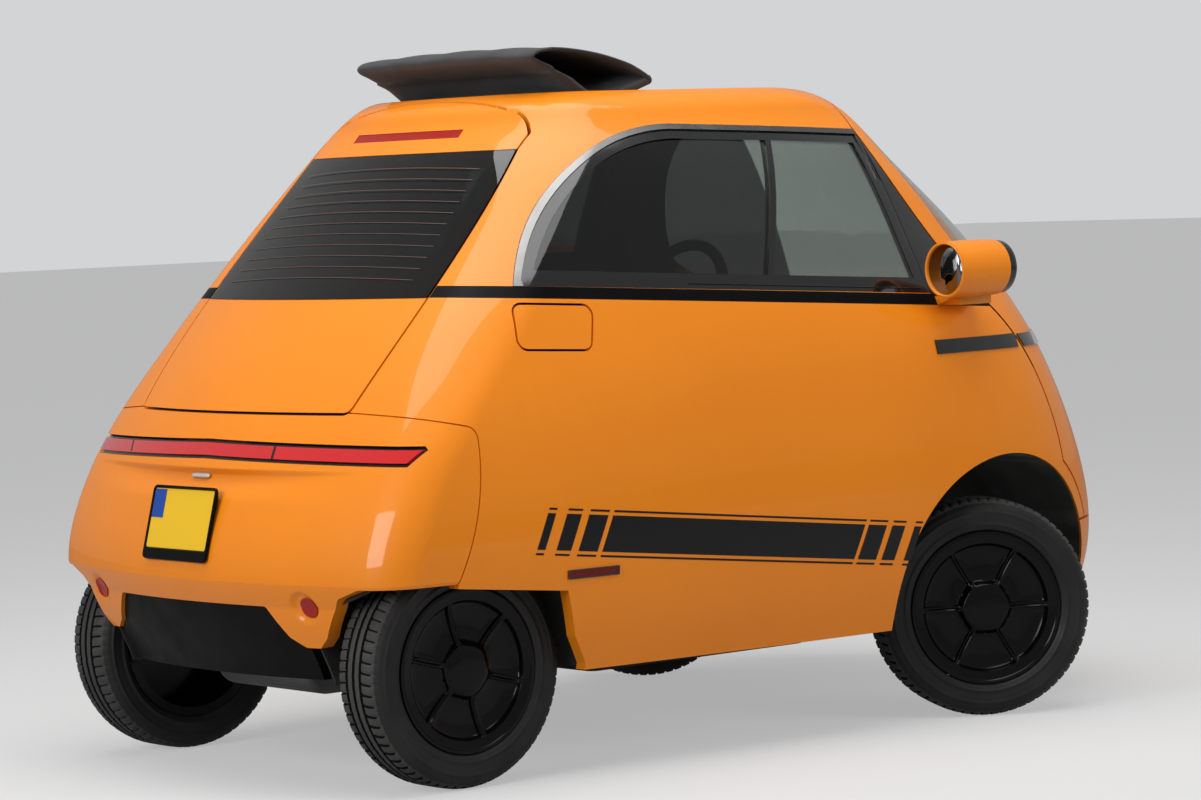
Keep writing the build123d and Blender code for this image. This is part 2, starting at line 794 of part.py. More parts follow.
# name, side, turn, centre x, centre y
wheel_table = (
    ("front_right", -1, steer_deg, front_axle_x + kingpin_offset * sin(steer),
     -kingpin_y - kingpin_offset * cos(steer)),
    ("front_left", 1, steer_deg, front_axle_x - kingpin_offset * sin(steer),
     kingpin_y + kingpin_offset * cos(steer)),
    ("rear_right", -1, 0.0, rear_axle_x, -rear_track / 2),
    ("rear_left", 1, 0.0, rear_axle_x, rear_track / 2),
)

for name, side, turn, x, y in wheel_table[:2]:
    hub_plane = wheel_plane(x, y, turn, side)
    with BuildPart() as knuckle:
        with BuildSketch(Plane.XY.offset(tyre_r - knuckle_h / 2)):
            with Locations((front_axle_x, side * kingpin_y)):
                Circle(16)
        extrude(amount=knuckle_h)
        with BuildSketch(hub_plane.offset(-kingpin_offset)):
            Circle(stub_r)
        extrude(amount=kingpin_offset + stub_reach)
    save(knuckle.part, "knuckle_" + name.split("_")[1])

# ---------------------------------------------------------------- wheels and tyres

hub_r = 46.0
hub_inner = -8.0
face_z = 46.0
dish_r = 158.0
for name, side, turn, x, y in wheel_table:
    plane = wheel_plane(x, y, turn, side)
    profile = Plane(origin=plane.origin, x_dir=plane.x_dir, z_dir=-plane.y_dir)
    with BuildPart() as wheel:
        with BuildSketch(profile):
            with BuildLine():
                Polyline((0, stub_reach + 5), (stub_r + seat_gap, stub_reach + 5),
                         (stub_r + seat_gap, hub_inner), (hub_r, hub_inner), (hub_r, face_z - 6),
                         (dish_r, face_z - 6), (dish_r, -rim_w / 2), (rim_r, -rim_w / 2),
                         (rim_r, -rim_w / 2 + 7), (rim_r - 10, -rim_w / 2 + 16),
                         (rim_r - 10, rim_w / 2 - 16), (rim_r, rim_w / 2 - 7),
                         (rim_r, rim_w / 2), (dish_r - 8, rim_w / 2 + 2), (dish_r - 12, face_z + 4),
                         (62, face_z + 10), (60, face_z + 16), (52, face_z + 21),
                         (0, face_z + 21), (0, stub_reach + 5))
            make_face()
        revolve(axis=Axis(plane.origin, plane.z_dir))
        with BuildSketch(plane.offset(face_z + 2)):
            with PolarLocations(101, rib_count, start_angle=30):
                with Locations((0, -11), (0, 11)):
                    Rectangle(104, 8)
        extrude(amount=12)
    save(wheel.part, "wheel_" + name)
    with BuildPart() as tyre:
        with BuildSketch(profile):
            with BuildLine():
                half = tyre_w / 2
                bead = rim_w / 2 - 2
                Line((rim_r + seat_gap, -bead), (rim_r + seat_gap, bead))
                ThreePointArc((rim_r + seat_gap, bead), (213, half), (241, half - 12))
                ThreePointArc((241, half - 12), (249.8, half - 20.3), (tyre_r, half - 32))
                Line((tyre_r, half - 32), (tyre_r, 32 - half))
                ThreePointArc((tyre_r, 32 - half), (249.8, 20.3 - half), (241, 12 - half))
                ThreePointArc((241, 12 - half), (213, -half), (rim_r + seat_gap, -bead))
            make_face()
        revolve(axis=Axis(plane.origin, plane.z_dir))
    save(tyre.part, "tyre_" + name)

# ---------------------------------------------------------------- cabin

with BuildPart() as seat_cushion:
    with BuildSketch(Plane.XZ):
        with BuildLine():
            Polyline((-330, sill_z + floor_t), (90, sill_z + floor_t), (150, 500), (140, 560),
                     (-300, 520), (-330, 520), close=True)
        make_face()
        fillet([v for v in vertices() if v.Z > 400 and v.X > 0], radius=30)
    extrude(amount=seat_half_w, both=True)
save(seat_cushion.part, "seat_cushion")

with BuildPart() as seat_back:
    with BuildSketch(Plane.XZ):
        with BuildLine():
            Polyline((-420, 520 + seat_gap), (-300, 520 + seat_gap), (-345, 960), (-400, 1120),
                     (-460, 1110), (-450, 900), close=True)
        make_face()
        fillet([v for v in vertices() if v.Z > 800], radius=25)
    extrude(amount=seat_half_w, both=True)
    add(box_zone((-438, -330 - seat_gap), (-seat_half_w, seat_half_w), (sill_z + floor_t, 520.3)))
save(seat_back.part, "seat_back")

hub = Vector(*wheel_hub)
rake = radians(column_rake)
column_plane = Plane(origin=hub, x_dir=(0, -1, 0), z_dir=(-cos(rake), 0, sin(rake)))
with BuildPart() as steering_wheel:
    with BuildSketch(Plane(origin=hub, x_dir=column_plane.x_dir, z_dir=column_plane.y_dir)):
        with Locations((steering_wheel_r, 0)):
            Circle(14)
    revolve(axis=Axis(hub, column_plane.z_dir))
    with BuildSketch(column_plane.offset(-34)):
        Circle(46)
    extrude(amount=26)
    with BuildSketch(column_plane.offset(-16)):
        with PolarLocations(105, 3, start_angle=-90, angular_range=360):
            Rectangle(134, 26)
    extrude(amount=8)
save(steering_wheel.part, "steering_wheel")

with BuildPart() as steering_column:
    with BuildSketch(column_plane.offset(-34 - seat_gap)):
        Circle(30)
    extrude(amount=-430)
    with BuildSketch(column_plane.offset(-70)):
        Rectangle(150, 90)
        fillet(vertices(), radius=20)
    extrude(amount=-90)
    with BuildSketch(Plane.XY.offset(sill_z + floor_t)):
        with Locations((post_x, hub.Y)):
            Rectangle(80, 90)
            fillet(vertices(), radius=12)
    extrude(amount=hub.Z - (post_x - hub.X) * tan(rake) - sill_z - floor_t)
save(steering_column.part, "steering_column")

# ---------------------------------------------------------------- folded soft roof

with BuildPart() as folded_roof:
    with BuildSketch(Plane.XZ):
        with BuildLine():
            Polyline((-425, 1460), (-432, 1500), (-452, 1540))
            ThreePointArc((-452, 1540), (-462, 1566), (-430, 1580))
            ThreePointArc((-430, 1580), (-280, 1562), (-112, 1516))
            Polyline((-112, 1516), (-112, 1460), (-425, 1460))
        make_face()
    extrude(amount=sunroof_half_w, both=True)
    with BuildSketch(Plane.XZ):
        with BuildLine():
            Polyline((-390, 1490), (-425, 1548), (-410, 1566))
            ThreePointArc((-410, 1566), (-280, 1548), (-150, 1514))
            Polyline((-150, 1514), (-180, 1504), (-390, 1490))
        make_face()
    extrude(amount=400, both=True, mode=Mode.SUBTRACT)
    add(skin(-seat_gap), mode=Mode.SUBTRACT)
save(folded_roof.part, "folded_roof")
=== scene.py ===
# %% [markdown]
# # A two-seat microcar
# The car is built on a fixed frame: every solid of its construction is already in place, in
# metres, with +X forward, +Y to the car's left and the ground at z = 0. This file dresses the
# solids: it smooths the pressed panels, gives every piece its finish, and models the soft and
# fine pieces that a construction model leaves plain, such as tyre tread, seats and the roof.

# %% Load the frame
import json

import bmesh
import bpy
import numpy as np
from mathutils import Matrix


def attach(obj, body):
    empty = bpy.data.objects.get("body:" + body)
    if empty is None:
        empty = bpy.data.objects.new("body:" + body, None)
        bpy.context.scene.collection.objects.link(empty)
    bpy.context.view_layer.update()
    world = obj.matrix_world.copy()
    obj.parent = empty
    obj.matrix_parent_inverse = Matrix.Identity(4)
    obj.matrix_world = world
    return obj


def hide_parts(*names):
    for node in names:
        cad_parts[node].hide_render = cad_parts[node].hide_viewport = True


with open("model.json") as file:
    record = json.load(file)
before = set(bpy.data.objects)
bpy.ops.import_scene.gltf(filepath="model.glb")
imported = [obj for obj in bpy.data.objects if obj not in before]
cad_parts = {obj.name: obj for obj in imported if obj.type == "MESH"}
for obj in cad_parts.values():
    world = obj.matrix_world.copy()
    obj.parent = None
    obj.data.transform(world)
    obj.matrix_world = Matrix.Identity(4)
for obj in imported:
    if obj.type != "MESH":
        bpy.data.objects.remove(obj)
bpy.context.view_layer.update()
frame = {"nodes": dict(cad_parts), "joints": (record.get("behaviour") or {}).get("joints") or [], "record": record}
nodes, scene = frame["nodes"], bpy.context.scene

# %% [markdown]
# ## The body as a formula
# The painted body is one smooth form. At each height its outline is an oval of tangent arcs:
# a rear arc, a rear corner, two side arcs, a front corner and a nose arc, the same on both
# sides. The table holds the outlines that the construction uses. Splines through its columns
# give the outline at any height, and from it any point's distance from the skin. The
# gradient of that distance is the exact surface direction, which is what gloss paint needs.

# %% The body's outlines and the splines through them
outline_names = ("z", "rear", "wide", "front", "half", "r_rear", "r_rear_corner", "r_back",
                 "r_fore", "r_front_corner", "r_nose")
outlines = np.array([
    (230, -1180, 454, 1209, 690, 1700, 120, 14000, 1300, 560, 760),
    (330, -1218, 454, 1244, 716, 1900, 115, 14000, 1300, 560, 780),
    (450, -1239, 454, 1254, 732, 1900, 115, 14000, 1300, 560, 780),
    (600, -1199, 444, 1219, 736, 1900, 130, 13000, 1300, 540, 780),
    (750, -1126, 404, 1154, 726, 1700, 160, 11000, 1350, 500, 780),
    (900, -1021, 304, 1069, 698, 1500, 200, 8000, 1500, 440, 760),
    (1050, -886, 154, 954, 646, 1500, 200, 6500, 1600, 370, 720),
    (1200, -748, 54, 804, 588, 1400, 180, 5500, 1600, 320, 680),
    (1330, -631, 4, 659, 520, 1300, 165, 4800, 1600, 280, 640),
    (1420, -551, -16, 566, 455, 1200, 150, 4000, 1500, 240, 600),
    (1475, -466, -36, 386, 375, 1100, 150, 3500, 1400, 200, 560),
    (1500, -336, -56, 219, 265, 1000, 130, 3000, 1100, 150, 480),
]) / 1000.0
roof_z = outlines[-1, 0]


def spline_bends(knots, values):
    """Second derivatives of the natural cubic spline through (knots, values): at each inner
    knot the slopes of the two cubics that meet there are equal, which is one linear equation."""
    gap = np.diff(knots)
    rise = np.diff(values, axis=0) / gap[:, None]
    n = len(knots)
    system = np.eye(n)
    right = np.zeros_like(values)
    rows = np.arange(1, n - 1)
    system[rows, rows - 1] = gap[:-1]
    system[rows, rows] = 2 * (gap[:-1] + gap[1:])
    system[rows, rows + 1] = gap[1:]
    right[1:-1] = 6 * np.diff(rise, axis=0)
    return np.linalg.solve(system, right)


outline_bends = spline_bends(outlines[:, 0], outlines[:, 1:])


def outline_at(z):
    """The ten outline numbers at each height z: the cubic between the two nearest knots."""
    knots = outlines[:, 0]
    z = np.clip(z, knots[0], knots[-1])
    i = np.clip(np.searchsorted(knots, z) - 1, 0, len(knots) - 2)
    gap = knots[i + 1] - knots[i]
    b = ((z - knots[i]) / gap)[:, None]
    a = 1 - b
    low, high = outlines[i, 1:], outlines[i + 1, 1:]
    curve = ((a**3 - a) * outline_bends[i] + (b**3 - b) * outline_bends[i + 1]) * gap[:, None]**2
    return a * low + b * high + curve / 6

# %% Distance and direction from the skin
def corner_centre(end, end_r, side, side_r, corner_r, facing):
    """Centre of the arc that rounds an oval's corner: it lies inside the end arc by the
    difference of their radii, and inside the side arc likewise. Places are x + iy."""
    link, near, beyond = side - end, end_r - corner_r, side_r - corner_r
    along = (near**2 - beyond**2 + abs(link)**2) / (2 * abs(link))
    across = np.sqrt(np.maximum(near**2 - along**2, 0))
    return end + link / abs(link) * (along - 1j * facing * across)


def unit(vectors):
    """Vectors of the same directions with length one."""
    return vectors / np.linalg.norm(vectors, axis=-1, keepdims=True)


def gradient(measure, points, step):
    """How fast a measure of points grows along x, y and z, by central differences."""
    return np.stack([(measure(points + step * axis) - measure(points - step * axis)) / (2 * step)
                     for axis in np.eye(3)], 1)


def full_turn(steps):
    """Angles of evenly spaced steps round a circle."""
    return np.arange(steps) * (2 * np.pi / steps)


def smooth_step(value, low, high):
    """0 at low, 1 at high, with level ends."""
    t = np.clip((value - low) / (high - low), 0, 1)
    return t * t * (3 - 2 * t)


def skin_distance(points):
    """Signed distance of points outside the body's outline at their own height: the distance
    to the centre of the arc they face, less that arc's radius."""
    o = dict(zip(outline_names[1:], outline_at(points[:, 2]).T))
    p = points[:, 0] + 1j * np.abs(points[:, 1])
    result = np.empty(len(p))
    for facing, tip, *radii in ((1, "rear", "r_rear", "r_back", "r_rear_corner"),
                                (-1, "front", "r_nose", "r_fore", "r_front_corner")):
        end_r, side_r, corner_r = (o[name] for name in radii)
        end, side = o[tip] + facing * end_r, o["wide"] + 1j * (o["half"] - side_r)
        centre = corner_centre(end, end_r, side, side_r, corner_r, facing)

        def beyond(a, b):
            """Above zero where p lies on the side arc's side of the line from a through b."""
            return (np.conj(b - a) * (p - a)).imag * -facing

        to_end, to_side, to_corner = (
            abs(p - middle) - radius
            for middle, radius in ((end, end_r), (side, side_r), (centre, corner_r)))
        d = np.where(beyond(end, centre) < 0, to_end,
                     np.where(beyond(side, centre) > 0, to_side, to_corner))
        chosen = (p.real < o["wide"]) == (facing > 0)
        result[chosen] = d[chosen]
    return result


crown_depth, crown_reach = 0.003, 0.10


def skin_normal(points):
    """Outward surface direction: the gradient of skin_distance. Over the roof's flat crown it
    turns smoothly to straight up."""
    step = 0.002
    p = points.copy()
    p[:, 2] = np.clip(p[:, 2], outlines[0, 0] + step, roof_z - step)
    n = unit(gradient(skin_distance, p, step))
    crown = smooth_step(-skin_distance(p), 0, crown_reach) * (points[:, 2] > roof_z - crown_depth)
    return unit(n + crown[:, None] * ((0, 0, 1) - n))


probe = np.array([(0, -0.7, 0.6), (-1.3, 0, 0.45), (0.5, 0, 1.6)])
print("distance of three probes from the skin:", np.round(skin_distance(probe), 4))

# %% [markdown]
# ## Shared surface effects
# Real finishes are never even: gloss varies over paint, plastic has a moulded grain, and
# cloth has threads. Each effect is built once as a node group with named inputs, and every
# material places it with its own values.

# %% Helpers that make nodes and groups
def feed(tree, socket, value):
    """Give an input socket a plain value, or link an output socket to it."""
    if isinstance(value, bpy.types.NodeSocket):
        tree.links.new(value, socket)
    else:
        socket.default_value = value


def add(tree, kind, group=None, **inputs):
    """A new shader node, which may run a group, with some of its inputs fed; _ stands for a
    space in their names."""
    node = tree.nodes.new("ShaderNode" + kind)
    if group:
        node.node_tree = group
    for label, value in inputs.items():
        feed(tree, node.inputs[label.replace("_", " ")], value)
    return node


def calculate(tree, operation, *values):
    """One step of arithmetic on sockets or numbers."""
    node = add(tree, "Math")
    node.operation = operation
    for socket, value in zip(node.inputs, values):
        feed(tree, socket, value)
    return node.outputs[0]


def new_group(name, output, **inputs):
    """A group with named float inputs, their usual values and one float output. Returns the
    group, its inputs and its output as sockets to link, and the place on the object."""
    tree = bpy.data.node_groups.new(name, "ShaderNodeTree")
    for label, value in inputs.items():
        made = tree.interface.new_socket(label, in_out="INPUT", socket_type="NodeSocketFloat")
        made.default_value = value
    tree.interface.new_socket(output, in_out="OUTPUT", socket_type="NodeSocketFloat")
    given, result = (tree.nodes.new("NodeGroup" + end) for end in ("Input", "Output"))
    print("group:", name)
    return tree, given.outputs, result.inputs[output], add(tree, "TexCoord").outputs["Object"]

# %% Uneven gloss: noise stretched between a low and a high roughness
gloss_group, given, result, place = new_group(
    "uneven_gloss", "Roughness", Scale=6.0, Low=0.2, High=0.3)
noise = add(gloss_group, "TexNoise", Vector=place, Scale=given["Scale"], Detail=5)
stretch = add(gloss_group, "MapRange", Value=noise.outputs["Fac"], From_Min=0.35,
              From_Max=0.65, To_Min=given["Low"], To_Max=given["High"])
feed(gloss_group, result, stretch.outputs["Result"])

# %% Moulded grain: fine rounded cells mixed with noise, as a height
grain_group, given, result, place = new_group("moulded_grain", "Height", Scale=900.0, Coarse=0.4)
cells = add(grain_group, "TexVoronoi", Vector=place, Scale=given["Scale"])
rough = add(grain_group, "TexNoise", Vector=place, Scale=given["Scale"])
blend = add(grain_group, "Mix", Factor=given["Coarse"])
feed(grain_group, blend.inputs[2], cells.outputs["Distance"])
feed(grain_group, blend.inputs[3], rough.outputs["Fac"])
feed(grain_group, result, blend.outputs[0])

# %% Weave: two crossed sets of threads, as a height
weave_group, given, result, place = new_group("plain_weave", "Height", Threads=600.0)
split = add(weave_group, "SeparateXYZ", Vector=place).outputs
waves = []
for operation, across in (("ADD", "X"), ("SUBTRACT", "Y")):
    total = calculate(weave_group, operation, split[across], split["Z"])
    turns = calculate(weave_group, "MULTIPLY", total, given["Threads"])
    waves.append(calculate(weave_group, "SINE", turns))
crossed = calculate(weave_group, "MULTIPLY", *waves)
feed(weave_group, result, calculate(weave_group, "ADD", crossed, 0.5))

# %% [markdown]
# ## The finishes
# A material here is a plain shader plus the effects. The helper takes the constants that are
# the same all over the surface, such as clear coat, and sets them on the shader itself. Only
# what changes over the surface is linked in.

# %% Helpers that make a finish
def finish(name, color, gloss, gloss_scale, effect=None, coat=(0, 0.03), specular=0.5,
           **constants):
    """A Principled material. gloss is its lowest and highest roughness; effect, as made by
    grain or weave, holds a group whose Height becomes a bump, and the bump's distance; coat
    is the clear coat's weight and roughness."""
    material = bpy.data.materials.new(name)
    material.use_nodes = True
    tree = material.node_tree
    shader = tree.nodes["Principled BSDF"].inputs
    shader["Base Color"].default_value = (*color, 1)
    constants |= {"coat_weight": coat[0], "coat_roughness": coat[1],
                  "specular_ior_level": specular}
    for label, value in constants.items():
        shader[label.replace("_", " ").title().replace("Ior", "IOR")].default_value = value
    uneven = add(tree, "Group", gloss_group, Scale=gloss_scale, Low=gloss[0], High=gloss[1])
    feed(tree, shader["Roughness"], uneven.outputs["Roughness"])
    if effect:
        group, distance, values = effect
        pattern = add(tree, "Group", group, **values)
        raised = add(tree, "Bump", Distance=distance, Height=pattern.outputs["Height"])
        feed(tree, shader["Normal"], raised.outputs["Normal"])
    return material


def grain(scale, coarse, distance):
    """Moulded grain as an effect, its height in metres."""
    return grain_group, distance, {"Scale": scale, "Coarse": coarse}


def weave(threads, distance):
    """Weave as an effect, its height in metres."""
    return weave_group, distance, {"Threads": threads}


def color_noise(material, scale, dark, light):
    """The base colour wanders between dark and light with a soft noise of the given scale."""
    tree = material.node_tree
    place = add(tree, "TexCoord").outputs["Object"]
    noise = add(tree, "TexNoise", Vector=place, Scale=scale, Detail=6)
    ramp = add(tree, "ValToRGB", Fac=noise.outputs["Fac"])
    first, last = ramp.color_ramp.elements
    first.position, first.color = 0.3, (*dark, 1)
    last.position, last.color = 0.7, (*light, 1)
    feed(tree, tree.nodes["Principled BSDF"].inputs["Base Color"], ramp.outputs["Color"])


# %% Paint: solid amber-orange under clear coat
paint = finish(
    "orange_paint", (0.87, 0.245, 0.005), (0.42, 0.50), 3.0, coat=(0.5, 0.04), specular=0.25)
color_noise(paint, 2.5, (0.85, 0.237, 0.0045), (0.89, 0.253, 0.0055))

# %% Plastics, rubber and metals
gloss_black = finish("gloss_black", (0.006, 0.006, 0.007), (0.08, 0.14), 8.0, coat=(0.6, 0.05))
black_trim = finish(
    "black_trim", (0.0035, 0.0035, 0.004), (0.35, 0.5), 12.0, grain(1400, 0.3, 0.00006),
    specular=0.08)
lining = finish(
    "cabin_lining", (0.022, 0.022, 0.024), (0.6, 0.75), 20.0, grain(700, 0.5, 0.0001))
underside = finish(
    "underside_coating", (0.015, 0.015, 0.015), (0.7, 0.85), 9.0, grain(300, 0.7, 0.0004))
color_noise(underside, 7.0, (0.010, 0.010, 0.010), (0.028, 0.026, 0.024))
wheel_black = finish(
    "wheel_black", (0.0025, 0.0025, 0.003), (0.12, 0.18), 10.0, grain(1500, 1.0, 0.000003),
    specular=0.20)
alloy_trim = finish(
    "satin_alloy", (0.22, 0.215, 0.21), (0.24, 0.32), 25.0, grain(2500, 0.9, 0.00001),
    metallic=1.0)
steel = finish("coated_steel", (0.02, 0.02, 0.022), (0.4, 0.55), 15.0, grain(500, 0.7, 0.00008))
motor_case = finish(
    "cast_case", (0.16, 0.16, 0.165), (0.45, 0.6), 18.0, grain(260, 0.8, 0.0003), metallic=0.9)
tyre_rubber = finish(
    "tyre_rubber", (0.020, 0.020, 0.021), (0.50, 0.65), 14.0, grain(500, 0.8, 0.00015),
    specular=0.35)
color_noise(tyre_rubber, 9.0, (0.009, 0.009, 0.010), (0.019, 0.018, 0.018))
tread_rubber = finish(
    "tread_rubber", (0.045, 0.045, 0.045), (0.60, 0.75), 14.0, grain(500, 0.8, 0.00015),
    specular=0.35)
color_noise(tread_rubber, 9.0, (0.032, 0.032, 0.032), (0.058, 0.056, 0.054))
# near-black rubber for grooves and shoulder cuts: painted shade, darker than the tyre's own rubber
groove_rubber = finish("groove_rubber", (0.003, 0.003, 0.003), (0.75, 0.85), 14.0, specular=0.1)
seal_rubber = finish("seal_rubber", (0.010, 0.010, 0.010), (0.55, 0.65), 16.0)
vinyl = finish("decal_vinyl", (0.004, 0.004, 0.0045), (0.28, 0.34), 12.0, specular=0.35)

# %% Glass, lamps, plate and mirror
dark_glass, clear_glass, pane_glass = (
    finish(name, color, (0.0, 0.02), 5.0, transmission_weight=1.0, ior=1.5)
    for name, color in (("tinted_glass", (0.055, 0.057, 0.054)),
                        ("clear_glass", (0.72, 0.76, 0.74)),
                        ("pane_glass", (0.34, 0.38, 0.35))))
red_lens = finish("red_lens", (0.62, 0.010, 0.012), (0.08, 0.16), 9.0, coat=(1.0, 0.04))
smoked_lens = finish("smoked_lens", (0.012, 0.008, 0.008), (0.05, 0.10), 9.0, coat=(1.0, 0.03))
red_marker = finish(
    "red_marker", (0.34, 0.008, 0.004), (0.25, 0.35), 9.0, specular=0.3, coat=(0.15, 0.08))
side_red = finish(
    "side_red", (0.13, 0.004, 0.002), (0.25, 0.35), 9.0, specular=0.3, coat=(0.1, 0.08))
white_lamp = finish("lamp_diffuser", (0.50, 0.51, 0.53), (0.15, 0.25), 9.0, coat=(1.0, 0.04))
plate_face = finish(
    "plate_yellow", (0.86, 0.52, 0.012), (0.30, 0.42), 20.0, grain(1500, 0.2, 0.00002))
plate_blue = finish("plate_blue", (0.006, 0.06, 0.35), (0.30, 0.42), 20.0)
mirror = finish("mirror_glass", (0.20, 0.205, 0.21), (0.01, 0.02), 5.0, metallic=1.0)
leather = finish(
    "rim_leather", (0.018, 0.017, 0.017), (0.45, 0.6), 15.0, grain(450, 0.5, 0.0002))
seat_cloth = finish(
    "seat_cloth", (0.035, 0.035, 0.038), (0.85, 0.95), 15.0, weave(2600, 0.0004),
    sheen_weight=0.3)
roof_cloth = finish(
    "roof_cloth", (0.014, 0.014, 0.015), (0.62, 0.75), 10.0, weave(3800, 0.00025),
    sheen_weight=0.15)
color_noise(roof_cloth, 14.0, (0.010, 0.010, 0.011), (0.024, 0.023, 0.023))
print("materials so far:", len(bpy.data.materials))

# %% [markdown]
# ## Smooth panels
# The pressed panels come as loose triangles. A copy is merged, and each triangle is sorted by
# the direction of the skin's formula at its middle: those that face along it are the outer
# side, those that face against it are the lining, and the rest are cut edges. The outer and
# inner sides take the formula's direction at each corner, so highlights run unbroken from
# one panel to the next, and the cut edges stay crisp.

# %% Helpers that change a mesh
def reworked(mesh, *steps):
    """Run steps, each a function of an editable copy, and write the result back."""
    work = bmesh.new()
    work.from_mesh(mesh)
    for step in steps:
        step(work)
    work.to_mesh(mesh)
    work.free()
    return mesh


def merge(work):
    """Join loose triangles at their shared corners."""
    bmesh.ops.remove_doubles(work, verts=work.verts, dist=1e-5)


def face_outwards(work):
    """Turn the faces of a closed mesh outwards."""
    bmesh.ops.recalc_face_normals(work, faces=work.faces)


def cut_along(planes):
    """A step that cuts all faces along planes, given as (place, direction) pairs."""
    def step(work):
        for place, facing in planes:
            bmesh.ops.bisect_plane(work, geom=work.verts[:] + work.edges[:] + work.faces[:],
                                   plane_co=place, plane_no=facing)
        bmesh.ops.triangulate(work, faces=work.faces)
    return step


def shade_smooth(mesh, sharp_degrees=None):
    """Shade smooth; edges sharper than the given angle, if any, stay crisp."""
    mesh.polygons.foreach_set("use_smooth", np.ones(len(mesh.polygons), bool))
    if sharp_degrees:
        mesh.set_sharp_from_angle(angle=np.radians(sharp_degrees))
    return mesh


def read(items, attribute, kind=float, width=1):
    """One attribute of all items as an array, with width numbers for each."""
    values = np.empty(len(items) * width, kind)
    items.foreach_get(attribute, values)
    return values.reshape(-1, width) if width > 1 else values


def new_object(name, data):
    """A linked object."""
    made = bpy.data.objects.new(name, data)
    scene.collection.objects.link(made)
    return made


def show(mesh, name, materials, stands_for=(), body="body"):
    """Put a finished mesh in the scene, riding on its body. Clearing a mesh's materials also
    clears its faces' material numbers, so they are kept and set again."""
    numbers = read(mesh.polygons, "material_index", np.int32)
    mesh.materials.clear()
    for material in materials:
        mesh.materials.append(material)
    mesh.polygons.foreach_set("material_index", np.minimum(numbers, len(materials) - 1))
    mesh.name = name
    piece = new_object(name, mesh)
    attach(piece, body)
    if stands_for:
        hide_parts(*stands_for)
    return piece


body_of_node = {n: b for b, held in frame["record"]["behaviour"]["bodies"].items() for n in held}

# %% The tail's pressed shapes
# the crease lies under the tail lamp's lip and fades downwards and towards the sides
crease_depth, crease_top, crease_floor, crease_foot = 0.014, 0.686, (0.676, 0.674), 0.618
crease_sides = (0.10, 0.55)
# the lower band turns under at a steady slope, over a short reach
band_top, band_reach, band_slope = 0.452, 0.055, 0.36
# a round dish holds each reflector
dish_y, dish_z, dish_depth, dish_radii = 0.402, 0.399, 0.008, (0.024, 0.042)
pressed_region_x = -0.9


def pressed_depth(p):
    """How far the tail is pressed in at p, in metres, along the skin's direction."""
    y, z = np.abs(p[:, 1]), p[:, 2]
    crease = (smooth_step(z, crease_top, crease_floor[0])
              * smooth_step(z, crease_foot, crease_floor[1]))
    crease = crease_depth * crease * (1 - smooth_step(y, *crease_sides))
    band = band_slope * np.clip(band_top - z, 0, band_reach)
    dish = dish_depth * (1 - smooth_step(np.hypot(y - dish_y, z - dish_z), *dish_radii))
    return (crease + band + dish) * (p[:, 0] < pressed_region_x)


# the cuts that give the pressed shapes enough corners: upright ones across the tail, finer at
# the dishes, and level ones through the band, the crease and its upper edge
upright_cuts = (*np.arange(-0.54, 0.55, 0.03), *np.arange(0.356, 0.452, 0.006),
                *np.arange(-0.446, -0.352, 0.006))
level_cuts = (*np.arange(0.351, 0.456, 0.006), *np.arange(0.616, 0.672, 0.004),
              *np.arange(0.672, 0.690, 0.002))
press_cuts = ([((0, y, 0), (0, 1, 0)) for y in upright_cuts]
              + [((0, 0, z), (0, 0, 1)) for z in level_cuts])


def pressed_normal(points):
    """The skin's direction after pressing: it leans by the slope of pressed_depth."""
    n = skin_normal(points)
    slope = gradient(pressed_depth, points, 0.001)
    return unit(n + slope - (slope * n).sum(axis=1)[:, None] * n)

# %% Helpers that dress a solid
square_on = 0.86
lining_from = -0.5
roof_edge_z, roof_edge_lean = 1.42, 0.3


def dress_panel(node, outside, inside=None, extra=None, where=None, cuts=()):
    """Dress a piece of the body skin. inside is the finish of its cabin side; extra is the
    finish of the faces that where picks by their middles and by how they face; cuts lays
    corners where two finishes meet. The roof opening's edge stays painted."""
    pressed = node in pressed_nodes
    mesh = reworked(nodes[node].data.copy(), merge)
    if cuts or pressed:
        reworked(mesh, cut_along(cuts or press_cuts))
    co = read(mesh.vertices, "co", width=3)
    loops = read(mesh.loops, "vertex_index", int)
    facing = read(mesh.polygons, "normal", width=3)
    middle = co[loops.reshape(-1, 3)].mean(axis=1)
    along = (skin_normal(middle) * facing).sum(axis=1)
    direction = np.repeat(facing, 3, axis=0)
    at_vertex = pressed_normal(co) if pressed else skin_normal(co)
    outer, inner = np.repeat(along > square_on, 3), np.repeat(along < -square_on, 3)
    direction[outer] = at_vertex[loops[outer]]
    direction[inner] = -at_vertex[loops[inner]]
    if pressed:
        moved = co - pressed_depth(co)[:, None] * skin_normal(co)
        mesh.vertices.foreach_set("co", moved.astype(np.float32).ravel())
    shade_smooth(mesh).normals_split_custom_set(direction)
    roof_edge = (middle[:, 2] > roof_edge_z) & (np.abs(facing[:, 2]) < roof_edge_lean)
    numbers = np.where((along < lining_from) & ~roof_edge & (inside is not None), 1, 0)
    materials = [outside] + ([inside] if inside else [])
    if extra:
        numbers = np.where(where(middle, along), len(materials), numbers)
        materials.append(extra)
    mesh.polygons.foreach_set("material_index", numbers.astype(np.int32))
    show(mesh, "dressed_" + node, materials, (node,), body_of_node[node])


def dress_plain(node, material):
    """Dress a machined or moulded solid: smooth between its crisp edges."""
    mesh = shade_smooth(reworked(nodes[node].data.copy(), merge), 35)
    show(mesh, "dressed_" + node, [material], (node,), body_of_node[node])


# %% Dress the painted and glazed skin
pressed_nodes = ("rear_bumper", "diffuser", "reflectors")
post_x, lit_from_x = 0.01, 0.80


def ahead_of_post(middle, along):
    """The side pane ahead of the post, only lightly tinted; the one behind it is dark."""
    return middle[:, 0] > post_x


def lit_at_nose(middle, along):
    """The bar is black where it meets the handle strips and lit across the nose."""
    return (middle[:, 0] > lit_from_x) & (along > 0.5)


